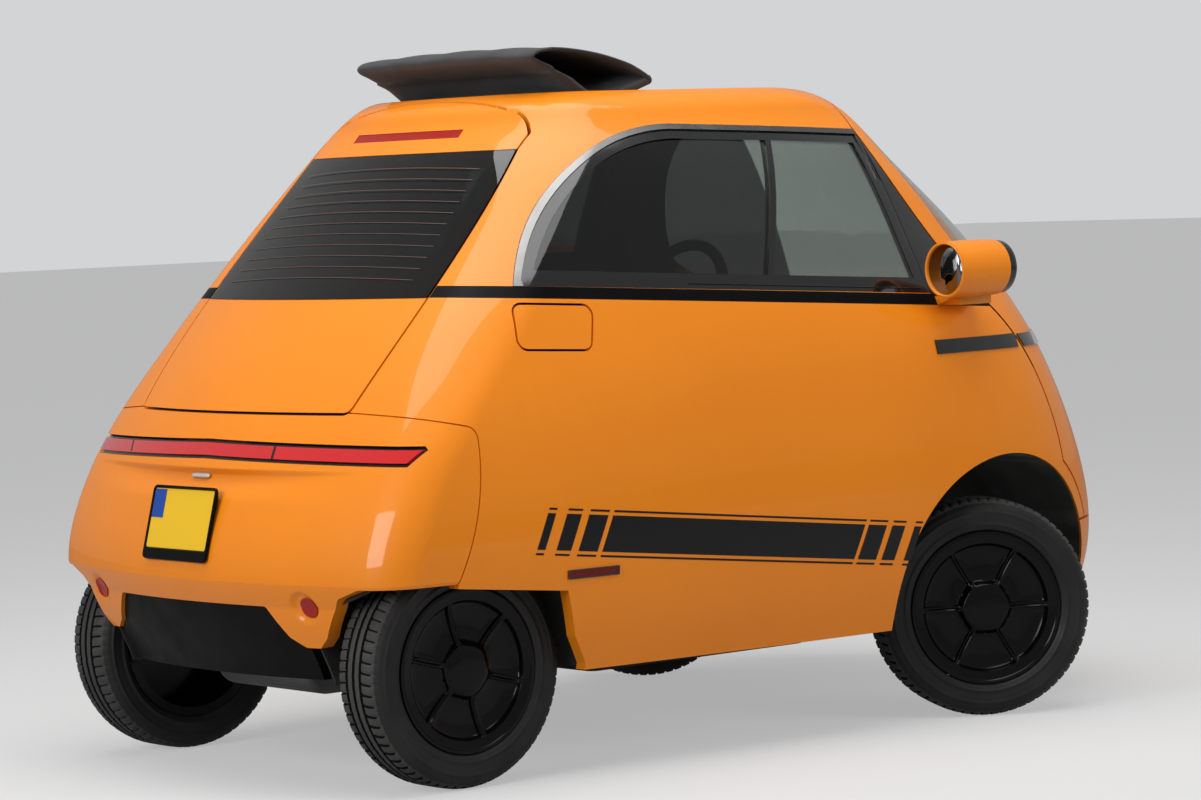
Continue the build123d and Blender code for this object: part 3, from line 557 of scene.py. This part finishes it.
panels = (
    (paint, lining, "side_panel_right side_panel_left charge_flap"),
    (gloss_black, lining, "front_pillars"),
    (paint, lining, "roof_frame front_door rear_hatch rear_bumper front_bumper"),
    (alloy_trim, None, "arch_trim"), (gloss_black, lining, "window_frames"),
    (black_trim, lining, "belt_trim"), (clear_glass, None, "windscreen"),
    (dark_glass, None, "rear_glass"), (gloss_black, None, "handle_strips tail_lamp_housing"),
    (red_lens, None, "tail_lamp_lens"), (red_marker, None, "brake_lamp"),
    (black_trim, None, "diffuser"), (red_marker, None, "reflectors"),
    (side_red, None, "side_markers"), (black_trim, None, "charge_socket"),
)
for outside, inside, names in panels:
    for node in names.split():
        dress_panel(node, outside, inside)
for node, main, extra, where, x in (
        ("side_glass", dark_glass, pane_glass, ahead_of_post, post_x),
        ("front_light_bar", gloss_black, white_lamp, lit_at_nose, lit_from_x)):
    dress_panel(node, main, None, extra, where, [((x, 0, 0), (1, 0, 0))])
print("rows of panels dressed:", len(panels))

# %% Dress the machined and moulded solids
plain_pieces = (
    (mirror, "mirror_glasses"), (gloss_black, "headlamps"), (paint, "pods"),
    (steel, "door_hinge hinge_strap"),
    (underside, "floor_pan front_liners rear_liners battery_box"), (motor_case, "drive_motor"),
    (steel, "rear_arms front_arms knuckle_right knuckle_left"),
    (lining, "steering_column"), (leather, "steering_wheel"), (seal_rubber, "hatch_seal"),
)
for material, names in plain_pieces:
    for node in names.split():
        dress_plain(node, material)

# %% [markdown]
# ## Finding places on the skin
# Decals, heater lines and lamp strips lie on the body, so their corners are first laid out
# flat, as seen from the side or from behind, and then moved onto the skin: each step moves a
# point along one axis by its remaining distance, divided by how squarely the skin faces it.

# %% Helpers that lay points on the skin
settling_steps, least_lean = 14, 0.25


def settle(places, axis, sign, proud):
    """Move places along one axis onto the surface that stands proud of the skin (metres).
    places holds x, y and z, each an array or a number; the result is shaped (..., 3)."""
    start = np.stack(np.broadcast_arrays(*places), -1)
    p = start.reshape(-1, 3)
    for _ in range(settling_steps):
        away = skin_distance(p) - proud
        lean = np.clip(np.abs(skin_normal(p)[:, axis]), least_lean, 1)
        p[:, axis] -= sign * away / lean
    return p.reshape(start.shape)


def on_side(x, z, side, proud):
    """Places of the flank at (x, z); side is -1 on the right and 1 on the left."""
    return settle((x, side * 0.72, z), 1, side, proud)


def on_tail(y, z, proud):
    """Places of the tail at (y, z)."""
    return settle((-1.15, y, z), 0, -1, proud)


def grid_quads(index):
    """Quads between neighbouring rows and columns of a grid of place numbers."""
    return np.stack([index[:-1, :-1], index[1:, :-1], index[1:, 1:], index[:-1, 1:]],
                    -1).reshape(-1, 4)


def smooth_mesh(places, faces):
    """A smoothly shaded mesh."""
    mesh = bpy.data.meshes.new("surface")
    mesh.from_pydata(places.tolist(), [], faces)
    return shade_smooth(mesh)


def sheet_mesh(grids, flip=False):
    """One mesh from several grids of places, each shaped (rows, columns, 3)."""
    quads, start = [], 0
    for grid in grids:
        index = start + np.arange(grid.size // 3).reshape(grid.shape[:2])
        quads.append(grid_quads(index)[:, ::-1 if flip else 1])
        start += index.size
    places = np.concatenate([grid.reshape(-1, 3) for grid in grids])
    return smooth_mesh(places, np.concatenate(quads).tolist())


def loop_mesh(rings, cap=False):
    """A surface through closed rings shaped (rings, around, 3). cap closes both ends with a
    fan to the end ring's middle; without it the last ring joins the first, as on a tyre."""
    count, around = rings.shape[:2]
    index = np.arange(count * around).reshape(count, around)
    index = np.concatenate([index, index[:, :1]], 1)
    places = rings.reshape(-1, 3)
    if not cap:
        index = np.concatenate([index, index[:1]])
    faces = grid_quads(index).tolist()
    if cap:
        for ring, row in ((rings[0], index[0, ::-1]), (rings[-1], index[-1])):
            fan = (row[:-1], np.full(around, len(places)), row[1:])
            faces += np.stack(fan, 1).tolist()
            places = np.concatenate([places, [ring.mean(0)]])
    return reworked(smooth_mesh(places, faces), face_outwards)


# %% [markdown]
# ## Side stripes
# A long black panel runs along each flank between slanted bars that grow thinner towards its
# ends. Each bar has a thin line above and below it. All of them are vinyl cut to slanted
# quadrilaterals, so one function lays them all.

# %% Side stripes
sides = ((-1, "right"), (1, "left"))
bars = ((-0.738, -0.718), (-0.690, -0.653), (-0.634, -0.585), (-0.573, 0.127),
        (0.138, 0.192), (0.209, 0.248), (0.277, 0.298))
bands = ((-0.0395, 0.0395), (0.0465, 0.0510), (-0.0510, -0.0465))
bar_top = bands[0][1]
stripe_slant, stripe_fall, stripe_z, vinyl_proud = 0.40, -0.110, 0.457, 0.0006


def stripe(left, right, low, high, side):
    """A slanted bar: its upper edge runs from left to right, its height is measured from the
    stripes' falling middle line, and its ends lean by stripe_slant."""
    across = np.linspace(0, 1, max(3, int((right - left) / 0.03) + 2))
    up_by = np.linspace(low, high, max(2, int((high - low) / 0.02) + 1))
    s, t = np.meshgrid(across, up_by)
    x = left + s * (right - left) + (t - bar_top) * stripe_slant
    z = stripe_z + stripe_fall * x + t
    return on_side(x, z, side, vinyl_proud)


for side, label in sides:
    grids = [stripe(a, b, low, high, side) for a, b in bars for low, high in bands]
    decal = sheet_mesh(grids, flip=side < 0)
    show(decal, "side_stripes_" + label, [vinyl])
    print("side stripes", label, len(decal.polygons), "quads")

# %% [markdown]
# ## Tyres
# A tyre is one closed profile carried round its wheel. The profile has the sidewall's bulge,
# a thin rib that guards the rim, and three straight grooves. Short cuts across the shoulders
# are made by lowering one step in six round the tyre, turned a little from row to row so
# that they run slanted. The worn tread is paler than the sidewall. Grooves and cuts get a
# near-black rubber, which is painted shade.

# %% Tyre surface
tyre_profile = np.array([
    # across, radius, depth of the cross cuts here, all in mm
    (-62, 178.6, 0), (-66, 182, 0), (-69.5, 188, 0), (-70.4, 191, 0), (-72.6, 192, 0),
    (-72.9, 196, 0), (-71.0, 197.5, 0), (-72.4, 205, 0), (-73, 213, 0), (-72.4, 220, 0),
    (-73, 221, 0), (-72.6, 224, 0), (-70.4, 225, 0), (-69.4, 229, 0), (-66, 235, 0),
    (-62.5, 239, 1.2), (-59, 243, 2), (-54.5, 248, 3), (-49, 251, 4), (-41, 252.7, 4),
    (-30, 252.9, 4), (-28, 252, 3), (-27, 243.5, 0), (-20, 243.5, 0), (-19, 252, 0.6),
    (-17.5, 253, 1), (-12, 253, 1), (-6, 253, 1), (-4.8, 252, 0.6), (-3.8, 243.5, 0),
    (3.8, 243.5, 0),
])
tyre_profile = np.concatenate([tyre_profile, tyre_profile[:-2][::-1] * (-1, 1, 1)])
pitches, steps_per_pitch = 68, 6
cut_slant = 0.00045
groove_half, shoulder_half, tread_half = 30, 28, 59
groove_below_r, tread_above_r, shoulder_cut = 250, 240, 3


def wheel_places(centre, axle, across, radius, angle):
    """Points at the given distance along the axle, radius and angle from a wheel's centre."""
    axle = unit(axle)
    flat = np.cross((0, 0, 1), axle)
    up = np.cross(axle, flat)
    spoke = np.cos(angle)[..., None] * flat + np.sin(angle)[..., None] * up
    return np.array(centre) + across[..., None] * axle + radius[..., None] * spoke


def tyre_mesh(centre, axle):
    """Rings of the tyre: at the first step of a pitch the cuts are open, and the turn between
    rows grows with the distance from the tyre's middle. Faces are numbered 0 on the
    sidewall, 1 on the tread and 2 in grooves and cuts, whose near-black finish is painted shade."""
    steps = np.arange(pitches * steps_per_pitch)
    across, radius, cut = tyre_profile.T
    turn = np.abs(across) * cut_slant
    angle = full_turn(len(steps)) + turn[:, None]
    open_here = (steps % steps_per_pitch == 0)[None, :]
    r = radius[:, None] - cut[:, None] * open_here
    a = np.broadcast_to(across[:, None], r.shape)
    mesh = loop_mesh(wheel_places(centre, axle, a / 1000, r / 1000, angle))
    off_middle = np.abs(across + np.roll(across, -1)) / 2
    lower_r, lower_cut = (np.minimum(row, np.roll(row, -1)) for row in (radius, cut))
    in_groove = (lower_r < groove_below_r) & (off_middle < groove_half)
    in_cut = ((lower_cut >= shoulder_cut) & (off_middle > shoulder_half))[:, None] & open_here
    on_tread = (lower_r > tread_above_r) & (off_middle < tread_half)
    numbers = np.where(in_groove[:, None] | in_cut, 2, np.where(on_tread[:, None], 1, 0))
    mesh.polygons.foreach_set("material_index", numbers.astype(np.int32).ravel())
    return mesh


corners = []
for joint in frame["joints"]:
    if joint["name"].startswith("wheel_spin"):
        label = joint["name"].replace("wheel_spin_", "")
        outward = -1 if "right" in label else 1
        corners.append((label, joint, outward * np.array(joint["axis"], float)))
for label, joint, axle in corners:
    mesh = tyre_mesh(joint["pos_m"], axle)
    # grooves and cuts take the near-black rubber, a painted shade
    show(mesh, "tread_" + label, [tyre_rubber, tread_rubber, groove_rubber],
         ("tyre_" + label,), joint["child"])
print("tyres:", len(corners), "with", len(mesh.polygons), "quads each")

# %% [markdown]
# ## Wheels
# Each wheel is one closed surface: from its hub's bore over the inner disc and the rim's
# barrel to the bright edge, then across the cover to its domed cap. The cover's bowl carries
# six ribs, each with a fine groove along it: the grid's columns keep a fixed distance from a
# rib's middle line, so the ribs' edges stay straight and crisp.

# %% Wheel surface
back_profile = ((0.5, 21), (25.3, 21), (25.3, -8), (46, -8), (46, 40), (157, 40), (158, 38),
                (158, -64), (178, -64), (178, -57), (168, -48), (168, 48), (178, 57))
front_profile = ((178, 64), (177, 66.2), (174, 67), (170.5, 66.6), (168.5, 64.6), (166, 63.4),
                 (152, 63), (149.5, 62), (148, 59), (146.5, 53), (142, 47.5), (131, 44.3),
                 (115, 42.8), (95, 42.6), (76, 44), (66, 46.5), (61, 50), (58.5, 56),
                 (56, 61), (51, 64.4), (43, 66.2), (30, 67.2), (12, 67.8), (0.5, 67.9))
beside_rib = np.array((-9, -7.2, -5.6, -3.2, -1.4, 0, 1.4, 3.2, 5.6, 7.2, 9))
ribs, columns_between = 6, 7
bowl_inner_r, bowl_outer_r, rib_limit_w = 57, 149, 62.4
rib_half, rib_height, rib_rise, groove_depth, groove_half_w = 7.4, 8.6, 0.045, 2.6, 1.6
cap_lobe, lobed_radii = 0.022, (40, 62)


def wheel_mesh(centre, axle, first_rib):
    """Rings from the back to the front; on the cover's bowl a rib stands up, less its groove,
    and the cap's edge is drawn out a little towards each rib. s is the distance from the
    nearest rib's middle line."""
    rings = []
    sector = 2 * np.pi / ribs
    s = np.tile(np.concatenate([beside_rib, np.full(columns_between, 99.0)]), ribs)
    ridge = np.clip((rib_half - np.abs(s)) / 2, 0, 1)
    groove = groove_depth * np.exp(-(s / groove_half_w)**2)
    for k, (r, w) in enumerate(back_profile + front_profile):
        near = np.arcsin(beside_rib / max(r, 60))
        free = np.linspace(near[-1], sector + near[0], columns_between + 2)[1:-1]
        turn = np.concatenate([near, free])
        angle = (turn + full_turn(ribs)[:, None]).ravel() + first_rib
        on_cover = k >= len(back_profile)
        share = (np.clip((r - bowl_inner_r) / 4, 0, 1)
                 * np.clip((bowl_outer_r - r) / 2, 0, 1) * on_cover)
        height = ridge * (rib_height + rib_rise * (r - 60))
        across = w + share * np.clip(height - groove * (height > 0), 0, None)
        across = np.where(share > 0, np.minimum(across, rib_limit_w), across)
        radius = np.full_like(angle, r)
        if on_cover and lobed_radii[0] < r < lobed_radii[1]:
            radius = radius * (1 + cap_lobe * np.cos(ribs * (angle - first_rib)))
        rings.append(wheel_places(centre, axle, across / 1000, radius / 1000, angle))
    return loop_mesh(np.stack(rings), cap=True)


for label, joint, axle in corners:
    first_rib = np.radians(-15 if "rear" in label else 0)
    mesh = shade_smooth(wheel_mesh(joint["pos_m"], axle, first_rib), 38)
    show(mesh, "cover_" + label, [wheel_black], ("wheel_" + label,), joint["child"])
print("wheels:", len(corners), "with", len(mesh.polygons), "quads each")

# %% [markdown]
# ## Folded roof
# The soft roof lies open behind the roof opening, folded into a broad loop of cloth like a
# wing: round and raised at the back, sloping forward to a thin tip, open at its sides. One
# closed section is drawn through a few places, smoothed, carried across the car and given a
# thickness by a second, smaller loop, with a round hem where the two meet. Its underside
# follows the roof down towards the sides and dips into the roof opening.

# %% Folded roof surface
roof_section = np.array([
    (-118, 1509), (-150, 1504), (-200, 1497), (-240, 1491), (-268, 1489), (-300, 1496),
    (-345, 1509), (-400, 1525), (-440, 1539), (-461, 1549), (-467, 1560), (-456, 1571),
    (-430, 1578), (-390, 1581), (-330, 1577), (-262, 1566), (-200, 1549), (-150, 1531),
    (-121, 1518), (-113, 1512),
]) / 1000.0
roof_width, cloth, hem = 0.330, 0.008, 0.004


def smooth_loop(points, steps):
    """Closed Catmull-Rom curve through points: between two of them, a cubic whose end slopes
    are half the chord of their neighbours."""
    t = np.linspace(0, 1, steps, endpoint=False)[:, None, None]
    p0, p1, p2, p3 = (np.roll(points, k, axis=0)[None] for k in (1, 0, -1, -2))
    curve = 0.5 * (2 * p1 + (p2 - p0) * t + (2 * p0 - 5 * p1 + 4 * p2 - p3) * t**2
                   + (3 * p1 - p0 - 3 * p2 + p3) * t**3)
    return curve.transpose(1, 0, 2).reshape(-1, 2)


def inward(loop, depth):
    """The loop moved inwards by depth along its own normals."""
    along = unit(np.roll(loop, -1, axis=0) - np.roll(loop, 1, axis=0))
    return loop + depth * np.stack([along[:, 1], -along[:, 0]], 1)


outer_loop = smooth_loop(roof_section, 5)
area_sign = np.sign(np.sum(outer_loop[:, 0] * np.roll(outer_loop[:, 1], -1)
                           - np.roll(outer_loop[:, 0], -1) * outer_loop[:, 1]))
cabin_z, halvings = 1.36, 12


def roof_top(x, y):
    """Height of the roof skin at (x, y), by halving the span between cabin and roof."""
    low, high = np.full_like(x, cabin_z), np.full_like(x, roof_z)
    for _ in range(halvings):
        half = (low + high) / 2
        under = skin_distance(np.stack([x, y, half], 1)) < 0
        low, high = np.where(under, half, low), np.where(under, high, half)
    return low


round_back_x, side_pull, side_drop, ripple = -0.40, 0.010, 0.006, 0.0012
loose_from_z, loose_to_z = 1.49, 1.58


def roof_ring(y, depth):
    """The section at y: lower towards the sides, slightly shorter there, and rippled."""
    loop = inward(outer_loop, -area_sign * depth)
    edge = (y / roof_width)**2
    x = loop[:, 0] + (loop[:, 0] < round_back_x) * side_pull * edge**2
    rise = np.clip((loop[:, 1] - loose_from_z) / (loose_to_z - loose_from_z), 0, 1)
    z = loop[:, 1] - side_drop * edge * rise
    z = z + ripple * np.sin(37 * y + 9 * loop[:, 0]) * rise
    return np.stack([x, np.full_like(x, y), z], 1)


stations = np.linspace(-roof_width, roof_width, 31)
outside = [roof_ring(y, 0.0) for y in stations]
inside = [roof_ring(y, cloth) for y in stations[::-1]]
hem_far, hem_near = (roof_ring(side * (roof_width + hem), hem) for side in (1, -1))
roof_rings = np.stack(outside + [hem_far] + inside + [hem_near])
x, y, z = roof_rings.reshape(-1, 3).T
falls_to_side = roof_top(x, y) - roof_top(x, np.zeros_like(y))
dip, dips_below_z, follows_below_z = 0.022, 1.515, 1.535
into_opening = dip * np.clip((dips_below_z - z) / 0.02, 0, 1)
z = z + falls_to_side * np.clip((follows_below_z - z) / 0.04, 0, 1) - into_opening
roof_rings = np.stack([x, y, z], 1).reshape(roof_rings.shape)
roof_piece = show(loop_mesh(roof_rings), "folded_roof_cloth", [roof_cloth],
                  ("folded_roof",))
print("folded roof:", len(roof_piece.data.polygons), "quads")

# %% [markdown]
# ## Seat
# One bench seats two. Cushion and backrest are foam under cloth: full in the middle, drawn in
# at sewn lines, and round at the ends. Each is a closed section carried across the car and
# shrunk towards its middle at both ends by a superellipse, with shallow valleys at the seams.

# %% Padded seat
bench_half, seam_places, seam_half, seam_depth = 0.497, (-0.25, -0.005, 0.24), 0.006, 0.035
end_roundness = 10
near_end = np.array((0.002, 0.008, 0.02, 0.04, 0.07))


def bench(name, section, stands_for):
    """A padded bench part: section is an (x, z) loop; at width y it is scaled about its
    middle by (1 - |y / bench_half|^n)^(1/n) and pulled in where a seam runs."""
    loop = smooth_loop(np.array(section) / 1000.0, 6)
    middle = (loop.min(0) + loop.max(0)) / 2
    fraction = np.concatenate([near_end - 1, np.linspace(-0.9, 0.9, 61), 1 - near_end[::-1]])
    size = (1 - np.abs(fraction)**end_roundness)**(1 / end_roundness)
    valley = sum(np.exp(-((fraction * bench_half - y) / seam_half)**2) for y in seam_places)
    size = size * (1 - seam_depth * valley) * (1 + 0.008 * np.cos(fraction * 24))
    rings = middle + (loop[None] - middle) * size[:, None, None]
    y = np.broadcast_to((fraction * bench_half)[:, None], rings.shape[:2])
    places = np.stack([rings[..., 0], y, rings[..., 1]], -1)
    piece = show(loop_mesh(places, cap=True), name, [seat_cloth], stands_for)


cushion_section = ((-322, 258), (-100, 254), (86, 256), (128, 380), (143, 490), (132, 545),
                   (90, 553), (-80, 536), (-240, 520), (-318, 512), (-326, 400))
back_section = ((-425, 540), (-330, 526), (-308, 560), (-318, 700), (-340, 930), (-368, 1040),
                (-402, 1112), (-440, 1114), (-457, 1080), (-452, 900), (-440, 700))
bench("bench_cushion", cushion_section, ("seat_cushion",))
bench("bench_back", back_section, ("seat_back",))
print("bench width:", 2 * bench_half)

# %% [markdown]
# ## Number plate
# The plate is blank: a yellow face with a blue band at its left end, set in a black frame with
# a deeper lower edge. Frame and plate are drawn in the plate's own plane, which leans with
# the tail, and carried into place by its three directions.

# %% Number plate
plate_right = np.array((0, -1.0, 0))
plate_out = unit(np.array((-0.966, 0, 0.258)))
plate_up = np.cross(plate_out, plate_right)
plate_seat, plate_stands_off = np.array((-1.209, 0.0, 0.565)), 0.0062


def on_plate(u, v, out):
    """Places at u to the right of the plate's middle, v above it and out proud of it."""
    middle = plate_seat + (plate_stands_off + out) * plate_out
    return middle + u[..., None] * plate_right + v[..., None] * plate_up


def rounded_rings(*rows, around=48):
    """Rounded rectangles; each row holds half the width, the lower and the upper edge, the
    corners' radius and how proud the ring stands."""
    angle = full_turn(around) + np.pi / around
    c, s = np.cos(angle), np.sin(angle)
    return np.stack([
        on_plate(np.sign(c) * (half_w - r) + r * c,
                 (high + low) / 2 + np.sign(s) * ((high - low) / 2 - r) + r * s, out)
        for half_w, low, high, r, out in rows])


frame_rings = rounded_rings(
    (0.108, -0.068, 0.068, 0.010, -0.0125), (0.123, -0.082, 0.082, 0.012, 0.000),
    (0.123, -0.082, 0.082, 0.012, 0.005), (0.1215, -0.0805, 0.0805, 0.0105, 0.007),
    (0.119, -0.059, 0.0775, 0.008, 0.007), (0.117, -0.057, 0.0755, 0.006, 0.0045),
    (0.114, -0.055, 0.0735, 0.005, 0.001))
show(shade_smooth(loop_mesh(frame_rings), 30), "plate_frame", [black_trim])
face_rings = rounded_rings(
    (0.1165, -0.0565, 0.075, 0.006, 0.0012), (0.1165, -0.0565, 0.075, 0.006, 0.0036),
    (0.1155, -0.0555, 0.074, 0.005, 0.0042))
show(shade_smooth(loop_mesh(face_rings, cap=True), 20), "blank_plate", [plate_face],
     ("number_plate",))
u, v = np.meshgrid(np.linspace(-0.1145, -0.070, 3), np.linspace(0.010, 0.073, 4))
show(sheet_mesh([on_plate(u, v, 0.0048)]), "plate_band", [plate_blue])
print("number plate: blank, with its frame and band")

# %% [markdown]
# ## Lamps, heater lines and pods
# Dark dividers split the long tail lamp. Fine heater wires cross the rear glass in low arches.
# The side markers get a dark rim. Each pod gets a barrel with a swollen middle and rolled
# rims, and a lamp ring and lens at its front.

# %% Tail lamp dividers and heater wires
divider_half, divider_proud, lamp_middle_z = 0.0035, -0.0004, 0.72
s, t = np.meshgrid((-divider_half, divider_half), np.linspace(0.7085, 0.7345, 5))
dividers = [on_tail(y + s + (t - lamp_middle_z) * lean, t, divider_proud)
            for y, lean in ((-0.235, 0.15), (0.355, 0.55))]
show(sheet_mesh(dividers, flip=True), "lamp_dividers", [gloss_black])

wires = []
wire_half, wire_arch, wire_proud = 0.0006, 0.009, 0.0022
lowest_z, highest_z, wire_pitch, lowest_reach, reach_loss = 1.085, 1.335, 0.0235, 0.3495, 0.10
for z in np.arange(lowest_z, highest_z, wire_pitch):
    reach = lowest_reach - reach_loss * (z - lowest_z)
    s, t = np.meshgrid(np.linspace(-reach, reach, 33), (-wire_half, wire_half))
    wires.append(on_tail(s, z + t - wire_arch * (s / reach)**2, wire_proud))
heater = finish("heater_wire", (0.10, 0.055, 0.035), (0.4, 0.5), 20.0)
show(sheet_mesh(wires, flip=True), "heater_wires", [heater], body="rear_hatch")
print("dividers:", len(dividers), "heater wires:", len(wires))

# %% Side markers: a dark rim turns each lens into a slot with round ends
def slot_rim(half_length, half_height, border, around=64):
    """A flat band from a slot with round ends out to a rectangle that is a border larger, as
    offsets along and up, each shaped (2, around + 1)."""
    angle = np.linspace(0, 2 * np.pi, around + 1)
    along, up = np.cos(angle), np.sin(angle)
    square = np.maximum(np.abs(along), np.abs(up))
    straight = np.sign(along) * (half_length - half_height)
    high = half_height + border
    return (np.stack([straight + half_height * along, straight + high * along / square]),
            np.stack([half_height * up, high * up / square]))


marker_x, marker_z, rim_proud = -0.627, 0.442, 0.0042
along, up = slot_rim(0.0630, 0.0070, 0.0030)
for side, label in sides:
    rim = on_side(marker_x + along, marker_z + up, side, rim_proud)
    show(sheet_mesh([rim], flip=side < 0), "marker_rim_" + label, [gloss_black])

# %% Pods: the barrel is a profile turned about a fore-and-aft axis
barrel = np.array([
    # along x, radius, in mm
    (391, 57.2), (387, 57.4), (384.2, 58.4), (383.6, 60.2), (385, 61.8), (391, 62.8),
    (410, 64.4), (440, 65.4), (470, 65.4), (500, 64.9), (520, 64.3), (530, 63.6),
    (534.5, 62.4), (535.6, 61.0), (535.2, 59.6),
])
lamp_ring = np.array([(533, 61.3), (546, 61.6), (552, 61.2), (556, 59.6), (557.2, 57.5),
                      (557, 55.5), (556.2, 54)])
lamp_lens = np.array([(556.2, 54.2), (557, 50), (558, 40), (558.7, 28), (559, 12)])
pod_y, pod_z, pod_sides = 0.745, 1.042, 64


def turned(profile, centre_y, closed):
    """Rings of a profile turned about a pod's axis; closed adds a fan at either end."""
    angle = np.linspace(0, 2 * np.pi, pod_sides + (not closed), endpoint=not closed)
    x, r = profile.T[..., None] / 1000
    rings = np.stack(np.broadcast_arrays(x, centre_y + r * np.cos(angle),
                                         pod_z + r * np.sin(angle)), -1)
    return loop_mesh(rings, cap=True) if closed else sheet_mesh([rings])


for side, label in sides:
    for part, profile, material in (("pod_barrel", barrel, paint),
                                    ("lamp_ring", lamp_ring, gloss_black),
                                    ("lamp_lens", lamp_lens, smoked_lens)):
        mesh = turned(profile, side * pod_y, part == "lamp_lens")
        show(mesh, f"{part}_{label}", [material])

# %% Plate lamp: a small clear bar in the crease under the tail lamp
lamp_half, lamp_r, lamp_z, lamp_deep, lamp_proud = 0.036, 0.0052, 0.668, 0.011, 0.005
along = np.linspace(-lamp_half, lamp_half, 13)[:, None]
angle = full_turn(20)
swell = np.sqrt(np.clip(1 - (along / lamp_half)**6, 0, 1))
z = lamp_z + lamp_r * (0.25 + 0.75 * swell) * np.sin(angle)
rings = on_tail(along, z, -lamp_deep)
rings[..., 0] -= lamp_proud * swell * np.cos(angle)
show(loop_mesh(rings, cap=True), "plate_lamp", [white_lamp])
print("pods and plate lamp made")

# %% [markdown]
# ## Studio
# The car stands on a plain pale floor under soft light: a large panel overhead, one at the
# camera's side and a weaker one opposite. The backdrop's brightness is given to what the
# camera, a mirror or glass sees, so that it stays pale without more light on the paint.

# %% Floor
def seen_directly(tree):
    """1 for what the camera sees, also through glass, part of it in reflections, 0 in light."""
    rays = add(tree, "LightPath").outputs
    direct = calculate(tree, "MAXIMUM", rays["Is Camera Ray"], rays["Is Transmission Ray"])
    mirrored = calculate(tree, "MULTIPLY", rays["Is Glossy Ray"], 0.25)
    return calculate(tree, "MAXIMUM", direct, mirrored)


floor_grey = finish(
    "floor_grey", (0.34, 0.34, 0.34), (0.9, 0.9), 6.0, specular=0.1,
    emission_color=(1, 1, 1, 1))
tree = floor_grey.node_tree
feed(tree, tree.nodes["Principled BSDF"].inputs["Emission Strength"],
     calculate(tree, "MULTIPLY", seen_directly(tree), 0.40))
square = np.array([(-60, -60, 0), (60, -60, 0), (60, 60, 0), (-60, 60, 0)])
floor = new_object("studio_floor", smooth_mesh(square, [(0, 1, 2, 3)]))
floor.data.materials.append(floor_grey)

# %% World: pale to the eye, moderate as light
scene.world = bpy.data.worlds.new("studio_world")
scene.world.use_nodes = True
tree = scene.world.node_tree
background = tree.nodes["Background"].inputs
background["Color"].default_value = (0.93, 0.94, 0.95, 1)
strength = add(tree, "MapRange", Value=seen_directly(tree), To_Min=0.24, To_Max=0.70)
feed(tree, background["Strength"], strength.outputs["Result"])

# %% Lamps
def placed(name, data, right, up, back, place):
    """An object in the scene whose own axes point right, up and back at a place."""
    pose = np.eye(4)
    pose[:3, 0], pose[:3, 1], pose[:3, 2], pose[:3, 3] = right, up, back, place
    made = new_object(name, data)
    made.matrix_world = Matrix(pose.tolist())
    return made


def soft_lamp(name, place, target, size, power):
    """A rectangular area lamp at place that faces target."""
    lamp = bpy.data.lights.new(name, "AREA")
    lamp.shape = "RECTANGLE"
    lamp.size, lamp.size_y = size
    lamp.energy = power
    back = unit(np.subtract(place, target))
    right = unit(np.cross((0, 0, 1), back))
    return placed(name, lamp, right, np.cross(back, right), back, place)


soft_lamp("overhead", (-0.6, -0.5, 4.6), (0, 0, 0.6), (5.0, 3.4), 180)
soft_lamp("rear_quarter", (-6.4, -1.2, 2.9), (-0.6, 0, 0.7), (3.6, 2.6), 205)
fill = soft_lamp("right_side", (2.2, -6.2, 2.4), (0.3, 0, 0.7), (3.2, 2.2), 120)
fill.visible_glossy = False

# %% [markdown]
# ## Camera
# It stands about nine metres off the rear right quarter at 1.27 metres height, looking slightly
# down through a long lens, so the car's lines stay nearly parallel.

# %% Camera
heading, pitch, roll = 0.8902, -0.0539, -0.0390
forward = np.array([np.cos(heading) * np.cos(pitch), np.sin(heading) * np.cos(pitch),
                    np.sin(pitch)])
level = np.array([np.sin(heading), -np.cos(heading), 0.0])
upright = np.cross(level, forward)
right = np.cos(roll) * level + np.sin(roll) * upright
up = -np.sin(roll) * level + np.cos(roll) * upright
focal_px, picture_px = 4015.9, 1201
lens = bpy.data.cameras.new("camera")
lens.sensor_width = 36.0
lens.lens = lens.sensor_width * focal_px / picture_px
bpy.context.scene.camera = placed("camera", lens, right, up, -forward, (-5.9705, -7.3361, 1.2688))
scene.view_settings.view_transform = "Standard"
